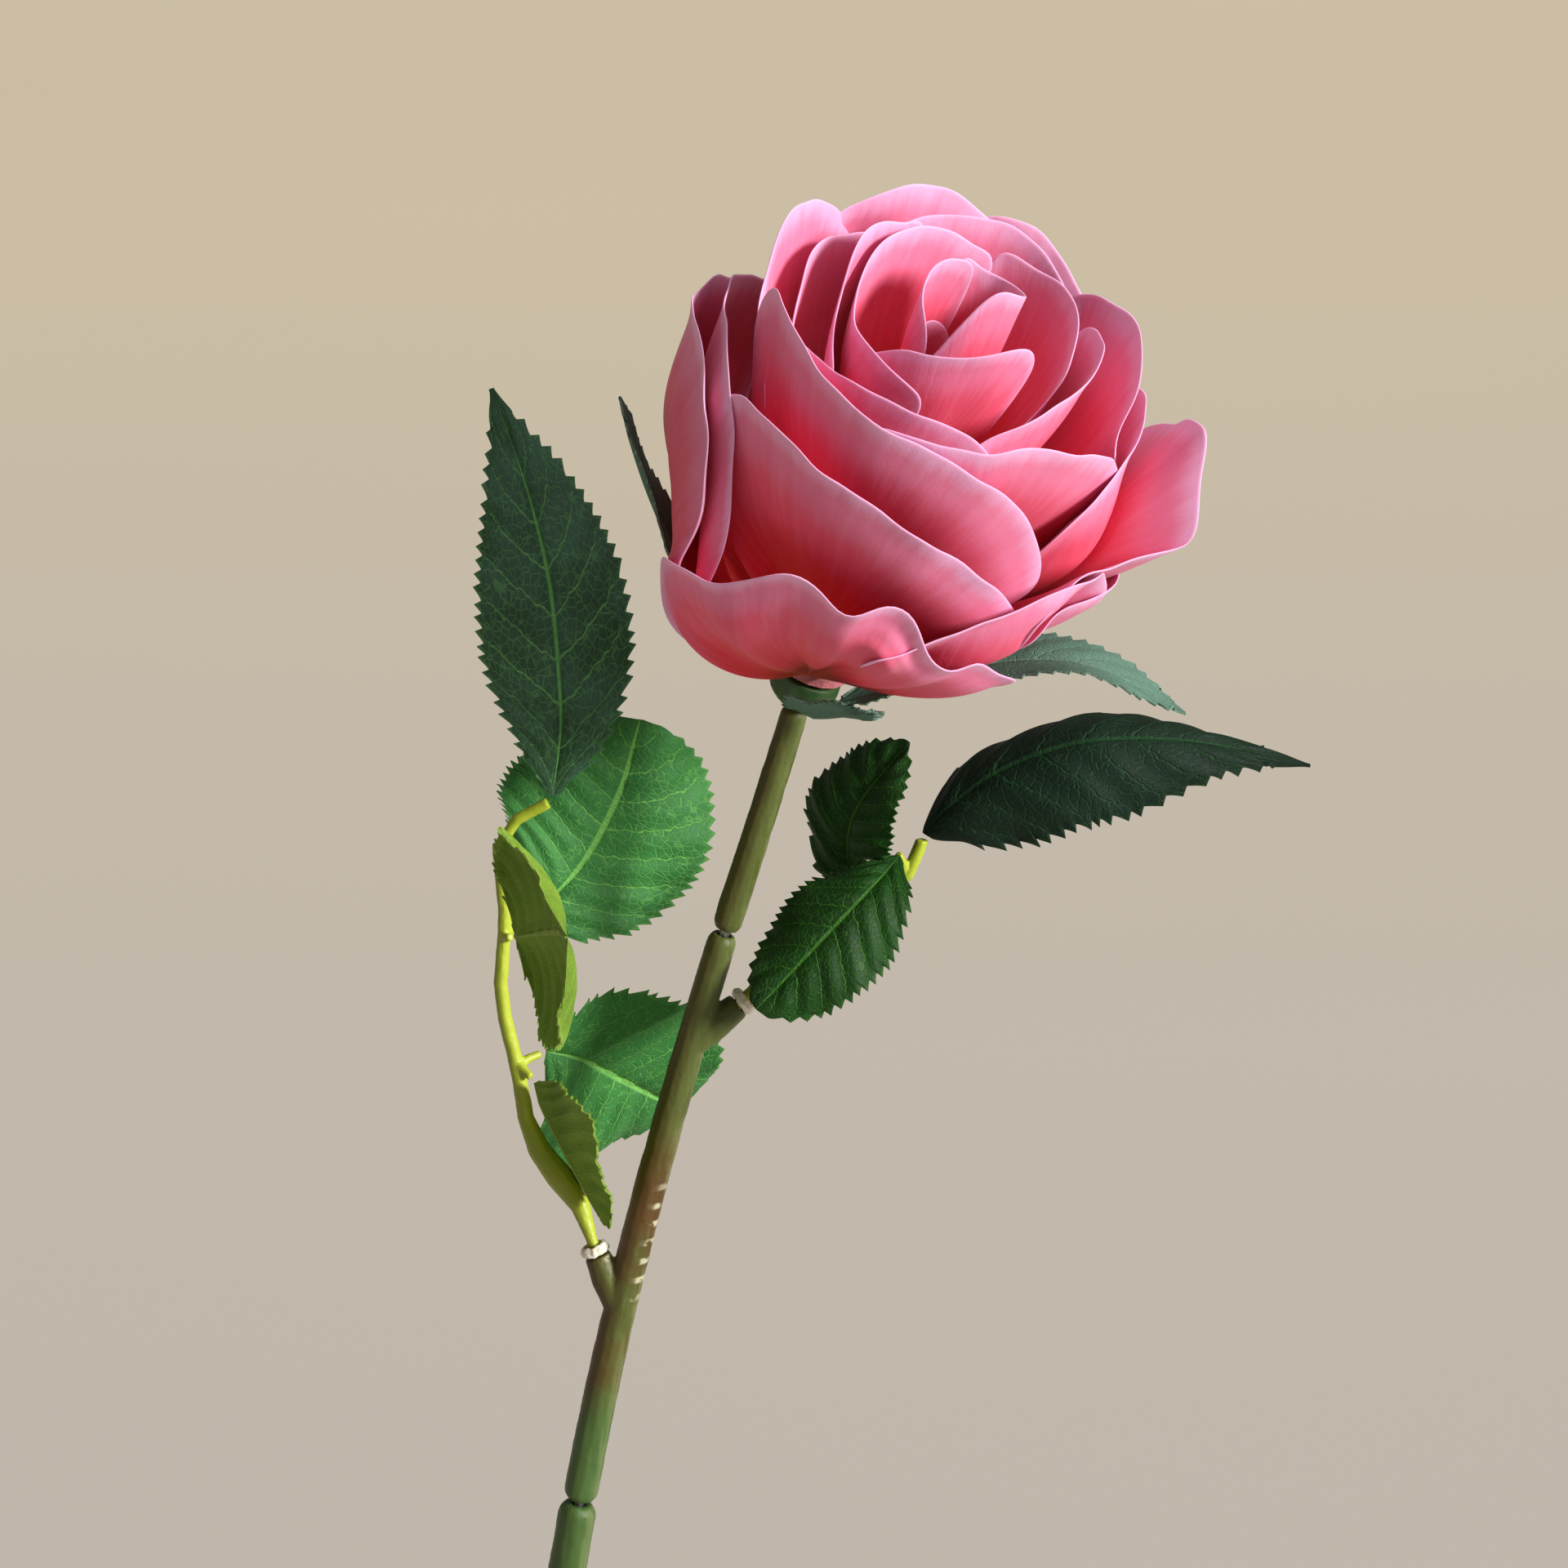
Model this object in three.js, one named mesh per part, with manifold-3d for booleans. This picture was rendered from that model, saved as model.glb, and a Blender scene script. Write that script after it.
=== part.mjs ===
// An artificial rose standing in a plain ceramic bud vase.
// A steel wire runs up the middle of three moulded plastic stem sleeves. The flower is a foam core
// with separate soft petals laid round it, held from below by a cup and five sepals. Two moulded
// stalks with leaves plug into side sockets on the middle sleeve.
// Millimetres, +Z up. The origin is the middle of the vase's foot, on the surface it stands on.
import * as THREE from "three";
import { mergeVertices } from "three/addons/utils/BufferGeometryUtils.js";
import Module from "manifold-3d";

const wasm = await Module();
wasm.setup();

// ---- Driving dimensions ------------------------------------------------------------------------

const CLEARANCE = 0.3; // between pieces that touch

const VASE = {
  height: 148,
  wall: 3,
  floor: 5,
  footRadius: 25,
  bellyRadius: 36,
  bellyHeight: 46,
  neckRadius: 10.6,
  neckLength: 30,
  lipRadius: 11.4,
};

const WIRE_RADIUS = 0.9;
const SLEEVE = { lowerRadius: 3.2, middleRadius: 2.9, upperRadius: 2.2, gap: 0.8 };
const SOCKET = { radius: 2.2, length: 6.9, bore: 1.3, boreDepth: 3.2 };

const HEAD = {
  base: new THREE.Vector3(44, -7.5, 312),
  lean: THREE.MathUtils.degToRad(21), // towards +X
  nod: THREE.MathUtils.degToRad(18), // towards -Y
};
const CORE = { bottom: 4, top: 56, radius: 6 };
const CUP = { bottom: -2.6, top: 3, radius: 5.6, stalkRadius: 3 };

const PLANT_SHIFT = 1.4; // brings the stem against the right of the vase's lip
const PLANNED_LIP = 148; // the lip's height that the plant's points are given for
const PLANT_RISE = VASE.height - PLANNED_LIP; // a taller vase lifts the flower with its lip

const PETAL_THICKNESS = 0.4;
const LEAF_THICKNESS = 0.45;
const SEPAL = { length: 54, width: 11, seat: 6.1 };

// ---- Colours and finishes ----------------------------------------------------------------------

const finish = (color, roughness, metalness = 0) =>
  new THREE.MeshStandardMaterial({ color, roughness, metalness });
const GLAZE = finish(0xe9e4da, 0.25);
const STEEL = finish(0x9a9a98, 0.35, 1);
const STEM_PLASTIC = finish(0x6f7440, 0.45);
const STALK_PLASTIC = finish(0xa9b22c, 0.45);
const GLUE = finish(0xdcd9cc, 0.3);
const FOAM = finish(0xd98a8f, 0.9);
const CUP_PLASTIC = finish(0x3f6b3c, 0.5);
const DARK_LEAF = finish(0x1f4a3a, 0.6);
const GREEN_LEAF = finish(0x2f7a3f, 0.6);
const SEPAL_CLOTH = finish(0x2f5b3b, 0.7);
const PETAL_PINK = finish(0xe8708c, 0.55);

// ---- Geometry helpers --------------------------------------------------------------------------

function closedMesh(geometry) {
  const bare = geometry.clone();
  bare.deleteAttribute("normal");
  bare.deleteAttribute("uv");
  return mergeVertices(bare, 1e-3);
}

function toSolid(geometry) {
  const merged = closedMesh(geometry);
  return new wasm.Manifold(
    new wasm.Mesh({
      numProp: 3,
      vertProperties: new Float32Array(merged.attributes.position.array),
      triVerts: new Uint32Array(merged.index.array),
    }),
  );
}

function fromSolid(solid) {
  const { vertProperties, triVerts } = solid.getMesh();
  const geometry = new THREE.BufferGeometry();
  geometry.setAttribute("position", new THREE.BufferAttribute(new Float32Array(vertProperties), 3));
  geometry.setIndex(new THREE.BufferAttribute(new Uint32Array(triVerts), 1));
  return geometry;
}

function piece(name, geometry, material, parent) {
  const mesh = new THREE.Mesh(geometry, material);
  mesh.name = name;
  parent.add(mesh);
  return mesh;
}

// A body turned about +Z from its outline of [radius, height] points.
function turned(points, segments) {
  const outline = points.map(([radius, height]) => new THREE.Vector2(radius, height));
  return new THREE.LatheGeometry(outline, segments).rotateX(Math.PI / 2);
}

const clamp01 = (t) => Math.min(1, Math.max(0, t));

// Numbers at even steps from one value to another, both included.
const evenly = (from, to, count) =>
  Array.from({ length: count }, (_, i) => from + ((to - from) * i) / (count - 1));

// Sends each vertex through a function that receives and changes a vector.
function reshape(geometry, change) {
  const position = geometry.attributes.position;
  const point = new THREE.Vector3();
  for (let i = 0; i < position.count; i++) {
    point.fromBufferAttribute(position, i);
    change(point);
    position.setXYZ(i, point.x, point.y, point.z);
  }
  return geometry;
}

// The frame of a curve at one of its points: its tangent, with a side and an out direction.
function frameAt(curve, t, outHint) {
  const tangent = curve.getTangentAt(t);
  const side = new THREE.Vector3().crossVectors(outHint, tangent).normalize();
  return { tangent, side, out: new THREE.Vector3().crossVectors(tangent, side) };
}

// Bends a body that was turned about +Z, from height 0 to height 1, along a curve.
function bentAlong(curve, points, segments) {
  const hint = new THREE.Vector3(0, -1, 0);
  return reshape(turned(points, segments), (point) => {
    const { side, out } = frameAt(curve, clamp01(point.z), hint);
    const centre = curve.getPointAt(clamp01(point.z));
    point.copy(centre.addScaledVector(side, point.x).addScaledVector(out, point.y));
  });
}

// ---- Vase --------------------------------------------------------------------------------------

const VASE_SEGMENTS = 32;

function vaseOutline(inset) {
  const { footRadius, bellyRadius, bellyHeight, neckRadius, neckLength, lipRadius, height } = VASE;
  const neckHeight = height - neckLength;
  const curve = new THREE.SplineCurve([
    new THREE.Vector2(footRadius, 0),
    new THREE.Vector2(bellyRadius - 2.5, bellyHeight * 0.42),
    new THREE.Vector2(bellyRadius, bellyHeight),
    new THREE.Vector2(bellyRadius * 0.72, (bellyHeight + neckHeight) * 0.5 - 4),
    new THREE.Vector2(neckRadius + 1.4, neckHeight - 14),
    new THREE.Vector2(neckRadius, neckHeight),
    new THREE.Vector2(lipRadius, height),
  ]);
  return curve.getPoints(13).map((p) => [p.x - inset, p.y]);
}

// The inside of the wall, from just above the floor to the lip.
function vaseInside() {
  return vaseOutline(VASE.wall).filter(([, height]) => height > VASE.floor + 1);
}

function vase() {
  const { height, wall, floor, footRadius, lipRadius } = VASE;
  const rim = [lipRadius - wall / 2, height + wall / 4];
  const outside = vaseOutline(0);
  const inside = vaseInside().reverse();
  const footInside = inside[inside.length - 1][0];
  return turned(
    [
      [0, 0],
      [footRadius - 1.5, 0],
      ...outside.slice(1, -1),
      [lipRadius, height - 0.6],
      rim,
      [lipRadius - wall, height - 0.6],
      ...inside.slice(1),
      [footInside - 3, floor],
      [0, floor],
    ],
    VASE_SEGMENTS,
  );
}

// ---- Stem --------------------------------------------------------------------------------------

// The stem's centre line, from its cut end inside the vase to the flower's cup.
const STEM_LINE = new THREE.CatmullRomCurve3(
  [
    [-24.1, 0, 6.4 - PLANT_RISE],
    [-15.6, 0, 50],
    [-5.9, -0.2, 100],
    [3.1, -0.7, 148],
    [7.4, -1.5, 173],
    [12.2, -2, 197],
    [19.5, -3.2, 228],
    [29.2, -4.5, 263],
    [37.5, -6, 290.3],
    [44, -7.5, 312],
  ].map((p) => new THREE.Vector3(...p)),
);
const STEM_LENGTH = STEM_LINE.getLength();
const JOINT_LOWER = 0.537; // where the sleeves meet, as shares of the stem's length
const JOINT_UPPER = 0.863;
const CUP_JOINT = 0.9898;

// The share of the stem's length at a height, found by halving.
function stemShare(height) {
  let low = 0;
  let high = 1;
  for (let i = 0; i < 40; i++) {
    const middle = (low + high) / 2;
    if (STEM_LINE.getPointAt(middle).z < height) low = middle;
    else high = middle;
  }
  return low;
}

// A tube round the wire between two shares of the stem, with rounded ends and a slight taper.
function sleeve(from, to, radiusFrom, radiusTo, stations) {
  const gap = SLEEVE.gap / STEM_LENGTH / 2;
  const start = from + gap;
  const end = to - gap;
  const bore = WIRE_RADIUS + CLEARANCE;
  const rounding = 2.4 / STEM_LENGTH;
  const outside = [
    [radiusFrom * 0.72, start],
    [radiusFrom * 0.97, start + rounding * 0.45],
  ];
  for (let i = 0; i <= stations; i++) {
    const share = i / stations;
    outside.push([
      radiusFrom + (radiusTo - radiusFrom) * share,
      start + rounding + (end - start - 2 * rounding) * share,
    ]);
  }
  outside.push([radiusTo * 0.97, end - rounding * 0.45], [radiusTo * 0.72, end]);
  const inside = outside.filter((_, i) => i % 2 === 0).map(([, height]) => [bore, height]);
  inside[0][1] = start;
  inside[inside.length - 1][1] = end;
  return bentAlong(STEM_LINE, [...outside, ...inside.reverse(), outside[0]], 12);
}

// A side socket on the middle sleeve: a short stub with a blind bore that a leaf stalk plugs into.
function socketFrame(height, direction) {
  const share = stemShare(height);
  const centre = STEM_LINE.getPointAt(share);
  return { centre, direction: new THREE.Vector3(...direction).normalize() };
}

const LEFT_SOCKET = socketFrame(206, [-0.37, 0.04, 0.93]);
const RIGHT_SOCKET = socketFrame(252, [0.78, 0.1, 0.62]);
const SOCKET_REACH = SLEEVE.middleRadius + SOCKET.length;

function alongDirection(geometry, origin, direction) {
  const turn = new THREE.Quaternion().setFromUnitVectors(new THREE.Vector3(0, 0, 1), direction);
  return geometry.applyQuaternion(turn).translate(origin.x, origin.y, origin.z);
}

function socketStub({ centre, direction }) {
  const { radius } = SOCKET;
  const outline = [
    [0, 0],
    [radius * 1.15, 0],
    [radius * 1.2, SOCKET_REACH * 0.55],
    [radius, SOCKET_REACH],
    [0, SOCKET_REACH],
  ];
  return alongDirection(turned(outline, 12), centre, direction);
}

function socketBore({ centre, direction }) {
  const bottom = SOCKET_REACH - SOCKET.boreDepth;
  const past = SOCKET_REACH + 1;
  const outline = [[0, bottom], [SOCKET.bore, bottom], [SOCKET.bore, past], [0, past]];
  return alongDirection(turned(outline, 10), centre, direction);
}

// The space that the wire needs between two shares of the stem.
function wireWay(from, to) {
  const wall = evenly(from, to, 12).map((share) => [WIRE_RADIUS + CLEARANCE, share]);
  return bentAlong(STEM_LINE, [[0, from], ...wall, [0, to]], 12);
}

function middleSleeve() {
  const { middleRadius } = SLEEVE;
  const clear = toSolid(wireWay(0.45, 0.95));
  let solid = toSolid(sleeve(JOINT_LOWER, JOINT_UPPER, middleRadius, middleRadius * 0.84, 10));
  for (const socket of [LEFT_SOCKET, RIGHT_SOCKET]) {
    const stub = toSolid(socketStub(socket)).subtract(clear);
    solid = solid.add(stub).subtract(toSolid(socketBore(socket)));
  }
  return fromSolid(solid);
}

function stem(group) {
  const wire = bentAlong(
    STEM_LINE,
    [[0, 0.004], ...evenly(0.004, 0.997, 22).map((t) => [WIRE_RADIUS, t]), [0, 0.997]],
    8,
  );
  piece("stem_wire", wire, STEEL, group);
  const lower = sleeve(0, JOINT_LOWER, SLEEVE.lowerRadius, SLEEVE.lowerRadius, 12);
  piece("stem_sleeve_lower", lower, STEM_PLASTIC, group);
  piece("stem_sleeve_middle", middleSleeve(), STEM_PLASTIC, group);
  const upper = sleeve(JOINT_UPPER, CUP_JOINT, SLEEVE.upperRadius * 1.08, SLEEVE.upperRadius, 6);
  piece("stem_sleeve_upper", upper, STEM_PLASTIC, group);
}

// ---- Leaf stalks -------------------------------------------------------------------------------

const asCurve = (points) => new THREE.CatmullRomCurve3(points.map((p) => new THREE.Vector3(...p)));

// Where a stalk starts: on the bottom of its socket's bore, with a gap.
function plugLine({ centre, direction }) {
  const bottom = SOCKET_REACH - SOCKET.boreDepth + CLEARANCE;
  const start = centre.clone().addScaledVector(direction, bottom);
  const mouth = centre.clone().addScaledVector(direction, SOCKET_REACH + 1.5);
  return [start, mouth];
}

// A tapered rod along a curve: radii are given at even steps of its length.
function rod(curve, radii, segments) {
  const steps = evenly(0, 1, radii.length);
  const outline = radii.map((radius, i) => [radius, steps[i]]);
  return bentAlong(curve, [[0, 0], ...outline, [0, 1]], segments);
}

// The stalk's main line, joined to its plug and to a short twig for each leaf.
function stalk(socket, line, radii, twigs) {
  const [start, mouth] = plugLine(socket);
  const main = asCurve([start.toArray(), mouth.toArray(), ...line]);
  const plug = SOCKET.bore - CLEARANCE;
  let solid = toSolid(rod(main, [plug, plug, ...radii], 10));
  for (const twig of twigs) {
    solid = solid.add(toSolid(rod(asCurve(twig), [0.85, 0.8, 0.7], 8)));
  }
  return fromSolid(solid);
}

// A bead of hot glue where a stalk leaves its socket: a collar with a gap all round.
function glueBead({ centre, direction }) {
  const inner = SOCKET.bore + CLEARANCE;
  const bottom = SOCKET_REACH + CLEARANCE;
  const outline = [
    [inner, bottom],
    [inner + 0.6, bottom],
    [inner + 0.95, bottom + 0.7],
    [inner + 0.6, bottom + 1.5],
    [inner, bottom + 1.7],
    [inner, bottom],
  ];
  return alongDirection(turned(outline, 12), centre, direction);
}

// ---- Leaves ------------------------------------------------------------------------------------

// A leaf is a thin slab laid along its midrib. half is its greatest half width. fold raises both
// halves from the midrib, in degrees; cup curls them back down towards their edges. up is the way
// the upper face looks. widest is where along the midrib it is broadest, and point sharpens the tip.
function leafBlade(leaf) {
  const { rib, half, up, fold, cup = 0, widest = 0.42, point = 1.3, grid = [6, 10] } = leaf;
  const curve = asCurve(rib);
  const upward = new THREE.Vector3(...up).normalize();
  const [across, along] = grid;
  const slab = new THREE.BoxGeometry(2, 1, LEAF_THICKNESS, across, along, 1).translate(0, 0.5, 0);
  const fullness = (share) =>
    share < widest
      ? Math.sin((Math.PI / 2) * (share / widest)) ** 0.75
      : Math.cos((Math.PI / 2) * ((share - widest) / (1 - widest))) ** (1 / point);
  return reshape(slab, (place) => {
    const share = clamp01(place.y);
    const reach = place.x;
    const { side, out } = frameAt(curve, share, upward);
    side.negate();
    const width = half * (0.035 + 0.965 * fullness(share));
    const bend = THREE.MathUtils.degToRad(fold - cup * Math.abs(reach));
    const onBlade = curve.getPointAt(share);
    onBlade.addScaledVector(side, Math.cos(bend) * reach * width);
    onBlade.addScaledVector(out, Math.sin(bend) * Math.abs(reach) * width);
    const normal = out.clone().multiplyScalar(Math.cos(bend));
    normal.addScaledVector(side, -Math.sin(bend) * Math.sign(reach));
    place.copy(onBlade.addScaledVector(normal, place.z));
  });
}

function leftSpray(group) {
  const line = [
    [8.4, -0.6, 222.2], [5.3, 1, 226.4], [1.8, 2.4, 230.6], [-0.8, 3.2, 236], [-2.2, 4, 245],
    [-3.8, 4, 251.5], [-4.8, 4, 258], [-4.3, 4, 266], [-3.9, 4, 273.6], [-4.8, 4, 279],
    [-4.9, 4, 282.4], [-3.4, 4, 285.6], [-0.4, 4, 288], [3.2, 4, 289.8],
  ];
  const twigs = [
    [[-4.2, 4, 267.6], [-3, 4.6, 268.4], [-1.4, 5.2, 269.8]],
    [[-4.2, 4, 267.4], [-3.8, 2.2, 267.8], [-3, 0.4, 268.4]],
    [[-2.2, 3.6, 245.6], [-0.4, 4.8, 246.6], [1.4, 5.8, 247]],
    [[-2.2, 3.6, 246], [-1.2, 2.9, 245.2], [0, 1.9, 244.3]],
  ];
  const radii = [1.7, 2.3, 1.9, 1.4, 1.3, 1.25, 1.2, 1.2, 1.15, 1.15, 1.1, 1.05, 1, 1];
  piece("left_stalk", stalk(LEFT_SOCKET, line, radii, twigs), STALK_PLASTIC, group);
  piece("glue_bead_left", glueBead(LEFT_SOCKET), GLUE, group);

  const leaves = [
    {
      rib: [[4, 4, 290.8], [5.4, 3.4, 302], [5, 4, 314], [3.6, 6, 327], [0.2, 10, 341], [-5.6, 14, 356.5]],
      half: 11.6,
      up: [0.1, -1, 0.1],
      fold: 12,
      cup: 14,
      widest: 0.4,
      point: 1.2,
      look: DARK_LEAF,
    },
    {
      rib: [[-0.2, 5.8, 270.8], [4.4, 8.4, 273.6], [9.6, 10.8, 279.6], [14.8, 12.5, 290], [17.8, 13, 301.2]],
      half: 17.4,
      up: [0.2, -1, 0.15],
      fold: 4,
      cup: 12,
      widest: 0.52,
      point: 1.9,
      look: GREEN_LEAF,
    },
    {
      rib: [[-2, -0.8, 268.9], [1.8, -6, 271], [6, -15, 274], [7.4, -26, 276.4]],
      half: 18.5,
      up: [0.93, 0.28, 0.17],
      fold: 10,
      cup: 26,
      widest: 0.5,
      point: 1.7,
      look: GREEN_LEAF,
    },
    {
      rib: [[2.4, 6.4, 247.2], [7.8, 8.6, 245], [13.6, 12, 240.8], [19, 15.4, 236.6], [23.4, 19, 233]],
      half: 17.6,
      up: [-0.4, -1, 0.15],
      fold: 8,
      cup: 6,
      widest: 0.5,
      point: 1.9,
      look: GREEN_LEAF,
    },
    {
      rib: [[0.8, 1, 243.6], [3.2, -2.6, 239], [7.6, -8.4, 232.4], [13.2, -14, 224.2]],
      half: 12.5,
      up: [0.93, 0.5, 0.42],
      fold: 22,
      cup: 10,
      widest: 0.4,
      point: 1.4,
      look: GREEN_LEAF,
    },
  ];
  leaves.forEach(({ look, ...leaf }, i) => {
    piece(`left_leaf_${i + 1}`, leafBlade(leaf), look, group);
  });
}

function rightSpray(group) {
  const line = [
    [38.6, 0, 263.2], [46.3, 2, 269.6], [54, 3, 274.2], [60.2, 3, 277.6], [62.8, 3, 281], [63.2, 3, 284],
  ];
  const twigs = [
    [[60.2, 2.8, 278.4], [60, 1.8, 280.4], [59.3, 0.6, 282.2]],
    [[51.2, 2.8, 272.8], [52, 2.8, 274.4], [52.3, 2.8, 276.2]],
  ];
  const radii = [1.45, 1.35, 1.3, 1.25, 1.2, 1.15];
  piece("right_stalk", stalk(RIGHT_SOCKET, line, radii, twigs), STALK_PLASTIC, group);
  piece("glue_bead_right", glueBead(RIGHT_SOCKET), GLUE, group);

  const leaves = [
    {
      rib: [
        [63.2, 2.8, 285.2], [67.5, 1, 290.4], [76, 0, 296.8], [88, -1, 301.4], [102, -0.5, 301.8],
        [114, 1.5, 299.6], [125.4, 6, 295.6],
      ],
      half: 13,
      up: [0, -0.55, 0.83],
      fold: -8,
      cup: 26,
      widest: 0.44,
      point: 1.25,
      look: DARK_LEAF,
    },
    {
      rib: [[52.4, 3.2, 277.8], [51.2, 3.4, 282.5], [53.4, 2.4, 290.5], [61, 2, 300.6]],
      half: 9.8,
      up: [-0.6, -0.65, 0.5],
      fold: 10,
      cup: 14,
      widest: 0.42,
      point: 1.7,
      look: GREEN_LEAF,
    },
    {
      rib: [[59.4, -1.4, 282.6], [55, -8, 279.4], [47.2, -12, 272], [36.6, -14.5, 261]],
      half: 10.6,
      up: [-0.1, -0.8, 0.6],
      fold: -6,
      cup: 16,
      widest: 0.55,
      point: 1.9,
      look: GREEN_LEAF,
    },
  ];
  leaves.forEach(({ look, ...leaf }, i) => {
    piece(`right_leaf_${i + 1}`, leafBlade(leaf), look, group);
  });
}

// ---- Flower head -------------------------------------------------------------------------------
// In the head's own frame +Z runs up its axis from the cup and -Y is its front. A point is given by
// its angle round the axis (0 at the front, + towards the right, in degrees), height and radius.

const RAD = Math.PI / 180;

// The outermost radius that has been filled so far, for each angle and height. Petals are laid from
// the middle outwards, and each one rests on what this holds.
const filled = {
  angles: 180,
  heights: 110,
  lowest: -8,
  radius: new Float32Array(180 * 110),
  corners(angle, height) {
    const turn = (((angle / 360) % 1) + 1) * this.angles;
    const rise = THREE.MathUtils.clamp(height - this.lowest, 0, this.heights - 2);
    const column = Math.floor(turn) % this.angles;
    const row = Math.floor(rise);
    const next = (column + 1) % this.angles;
    const cell = (c, r) => c * this.heights + r;
    return [cell(column, row), cell(next, row), cell(column, row + 1), cell(next, row + 1)];
  },
  cover(angle, height, radius) {
    for (const i of this.corners(angle, height)) this.radius[i] = Math.max(this.radius[i], radius);
  },
  at(angle, height) {
    return Math.max(...this.corners(angle, height).map((i) => this.radius[i]));
  },
};

const polar = (angle, height, radius) =>
  new THREE.Vector3(radius * Math.sin(angle * RAD), -radius * Math.cos(angle * RAD), height);
const angleOf = (point) => Math.atan2(point.x, -point.y) / RAD;
const radiusOf = (point) => Math.hypot(point.x, point.y);

// A value that passes through three given ones at -1, 0 and 1.
const through = ([left, middle, right], a) =>
  middle + ((right - left) / 2) * a + ((right + left) / 2 - middle) * a * a;
const power = (value, exponent) => Math.sign(value) * Math.abs(value) ** exponent;

// A petal's shape as a function of its share across (-1 to 1) and up (0 to 1). Its veins fan out
// from a narrow claw to a rounded-square edge.
//   at, half       angle of its middle, and its half width, in degrees
//   claw           height and radius of its claw
//   top, rim       height and radius of its upper edge at the left, middle and right
//   flare          how far the edge turns out at the left, middle and right
//   full, bulge    how round its side is, and how far its belly swells past a plain cup
function petalShape({ at, half, claw, top, rim, flare = [0.6, 0.8, 0.6], full, bulge = 0.4 }) {
  const fan = 117 * RAD;
  const corner = 0.74;
  const tallest = Math.max(...top);
  return (across, up) => {
    const a = power(Math.sin(fan * across), corner);
    const b = 0.44 + 0.56 * power(Math.cos(fan * across), corner);
    const edgeHeight = claw[0] + Math.max(0.05, b) * (through(top, a) - claw[0]);
    const height = claw[0] + (edgeHeight - claw[0]) * up;
    const angle = at + half * (a * up ** 0.75 + 0.34 * across * (1 - up));
    const share = clamp01((height - claw[0]) / (tallest - claw[0]));
    const cup = 1 - (1 - share ** 1.3) ** full;
    const place = THREE.MathUtils.clamp((angle - at) / half, -1, 1);
    const turnOut = through(flare, a) * clamp01((up - 0.62) / 0.38) ** 2;
    const radius = claw[1] + (through(rim, place) - claw[1]) * cup
      + bulge * Math.sin(Math.PI * share) + turnOut;
    return { angle, height, radius };
  };
}

// Lays a petal on what is filled: moves its points outwards until its inner face is clear, then
// adds it to what is filled. Returns its closed slab.
function layPetal(petal, acrossSteps, upSteps) {
  const shape = petalShape(petal);
  const columns = acrossSteps + 1;
  const rows = upSteps + 1;
  const points = [];
  for (let j = 0; j < rows; j++) {
    for (let i = 0; i < columns; i++) points.push(shape((2 * i) / acrossSteps - 1, j / upSteps));
  }
  const index = (i, j) => j * columns + i;
  const place = (i, j) => {
    const { angle, height, radius } = points[index(i, j)];
    return polar(angle, height, radius);
  };
  const normalAt = (i, j) => {
    const row = Math.max(j, 1); // the claw is too narrow to tell its own way across
    const acrossWay = place(Math.min(i + 1, acrossSteps), row).sub(place(Math.max(i - 1, 0), row));
    const upWay = place(i, Math.min(j + 1, upSteps)).sub(place(i, Math.max(j - 1, 0)));
    return acrossWay.cross(upWay).normalize(); // points away from the axis
  };
  // Walks over the slab's inner or outer side in small steps, giving each point its corners' shares.
  const walk = (offset, visit) => {
    const skin = [];
    for (let j = 0; j < rows; j++) {
      for (let i = 0; i < columns; i++) skin.push(place(i, j).addScaledVector(normalAt(i, j), offset));
    }
    const steps = 10;
    for (let j = 0; j < upSteps; j++) {
      for (let i = 0; i < acrossSteps; i++) {
        const corners = [index(i, j), index(i + 1, j), index(i, j + 1), index(i + 1, j + 1)];
        for (let p = 0; p <= steps; p++) {
          for (let q = 0; q <= steps; q++) {
            const [x, y] = [p / steps, q / steps];
            const low = skin[corners[0]].clone().lerp(skin[corners[1]], x);
            const high = skin[corners[2]].clone().lerp(skin[corners[3]], x);
            visit(low.lerp(high, y), corners, [(1 - x) * (1 - y), x * (1 - y), (1 - x) * y, x * y]);
          }
        }
      }
    }
  };
  for (let pass = 0; pass < 10; pass++) {
    const push = new Float32Array(points.length);
    walk(-PETAL_THICKNESS / 2, (point, corners, shares) => {
      const short = filled.at(angleOf(point), point.z) - radiusOf(point);
      if (short <= 0) return;
      corners.forEach((corner, k) => {
        push[corner] = Math.max(push[corner], short * Math.min(1, 2 * shares[k] + 0.15));
      });
    });
    // The claw moves as a whole, and neighbours take part of a push, so the petal stays smooth.
    push.fill(Math.max(...push.subarray(0, columns)), 0, columns);
    push.forEach((value, k) => {
      const i = k % columns;
      const j = (k - i) / columns;
      let near = 0;
      for (const [di, dj] of [[1, 0], [-1, 0], [0, 1], [0, -1]]) {
        const column = THREE.MathUtils.clamp(i + di, 0, acrossSteps);
        const row = THREE.MathUtils.clamp(j + dj, 0, upSteps);
        near += push[index(column, row)] / 4;
      }
      points[k].radius += Math.max(value, 0.6 * near);
    });
  }
  walk(PETAL_THICKNESS / 2 + CLEARANCE, (point) => {
    filled.cover(angleOf(point), point.z, radiusOf(point));
  });

  const slab = new THREE.BoxGeometry(acrossSteps, upSteps, 1, acrossSteps, upSteps, 1);
  return reshape(slab, (point) => {
    const i = Math.round(point.x + acrossSteps / 2);
    const j = Math.round(point.y + upSteps / 2);
    const offset = point.z * PETAL_THICKNESS;
    point.copy(place(i, j).addScaledVector(normalAt(i, j), offset));
  });
}

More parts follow.
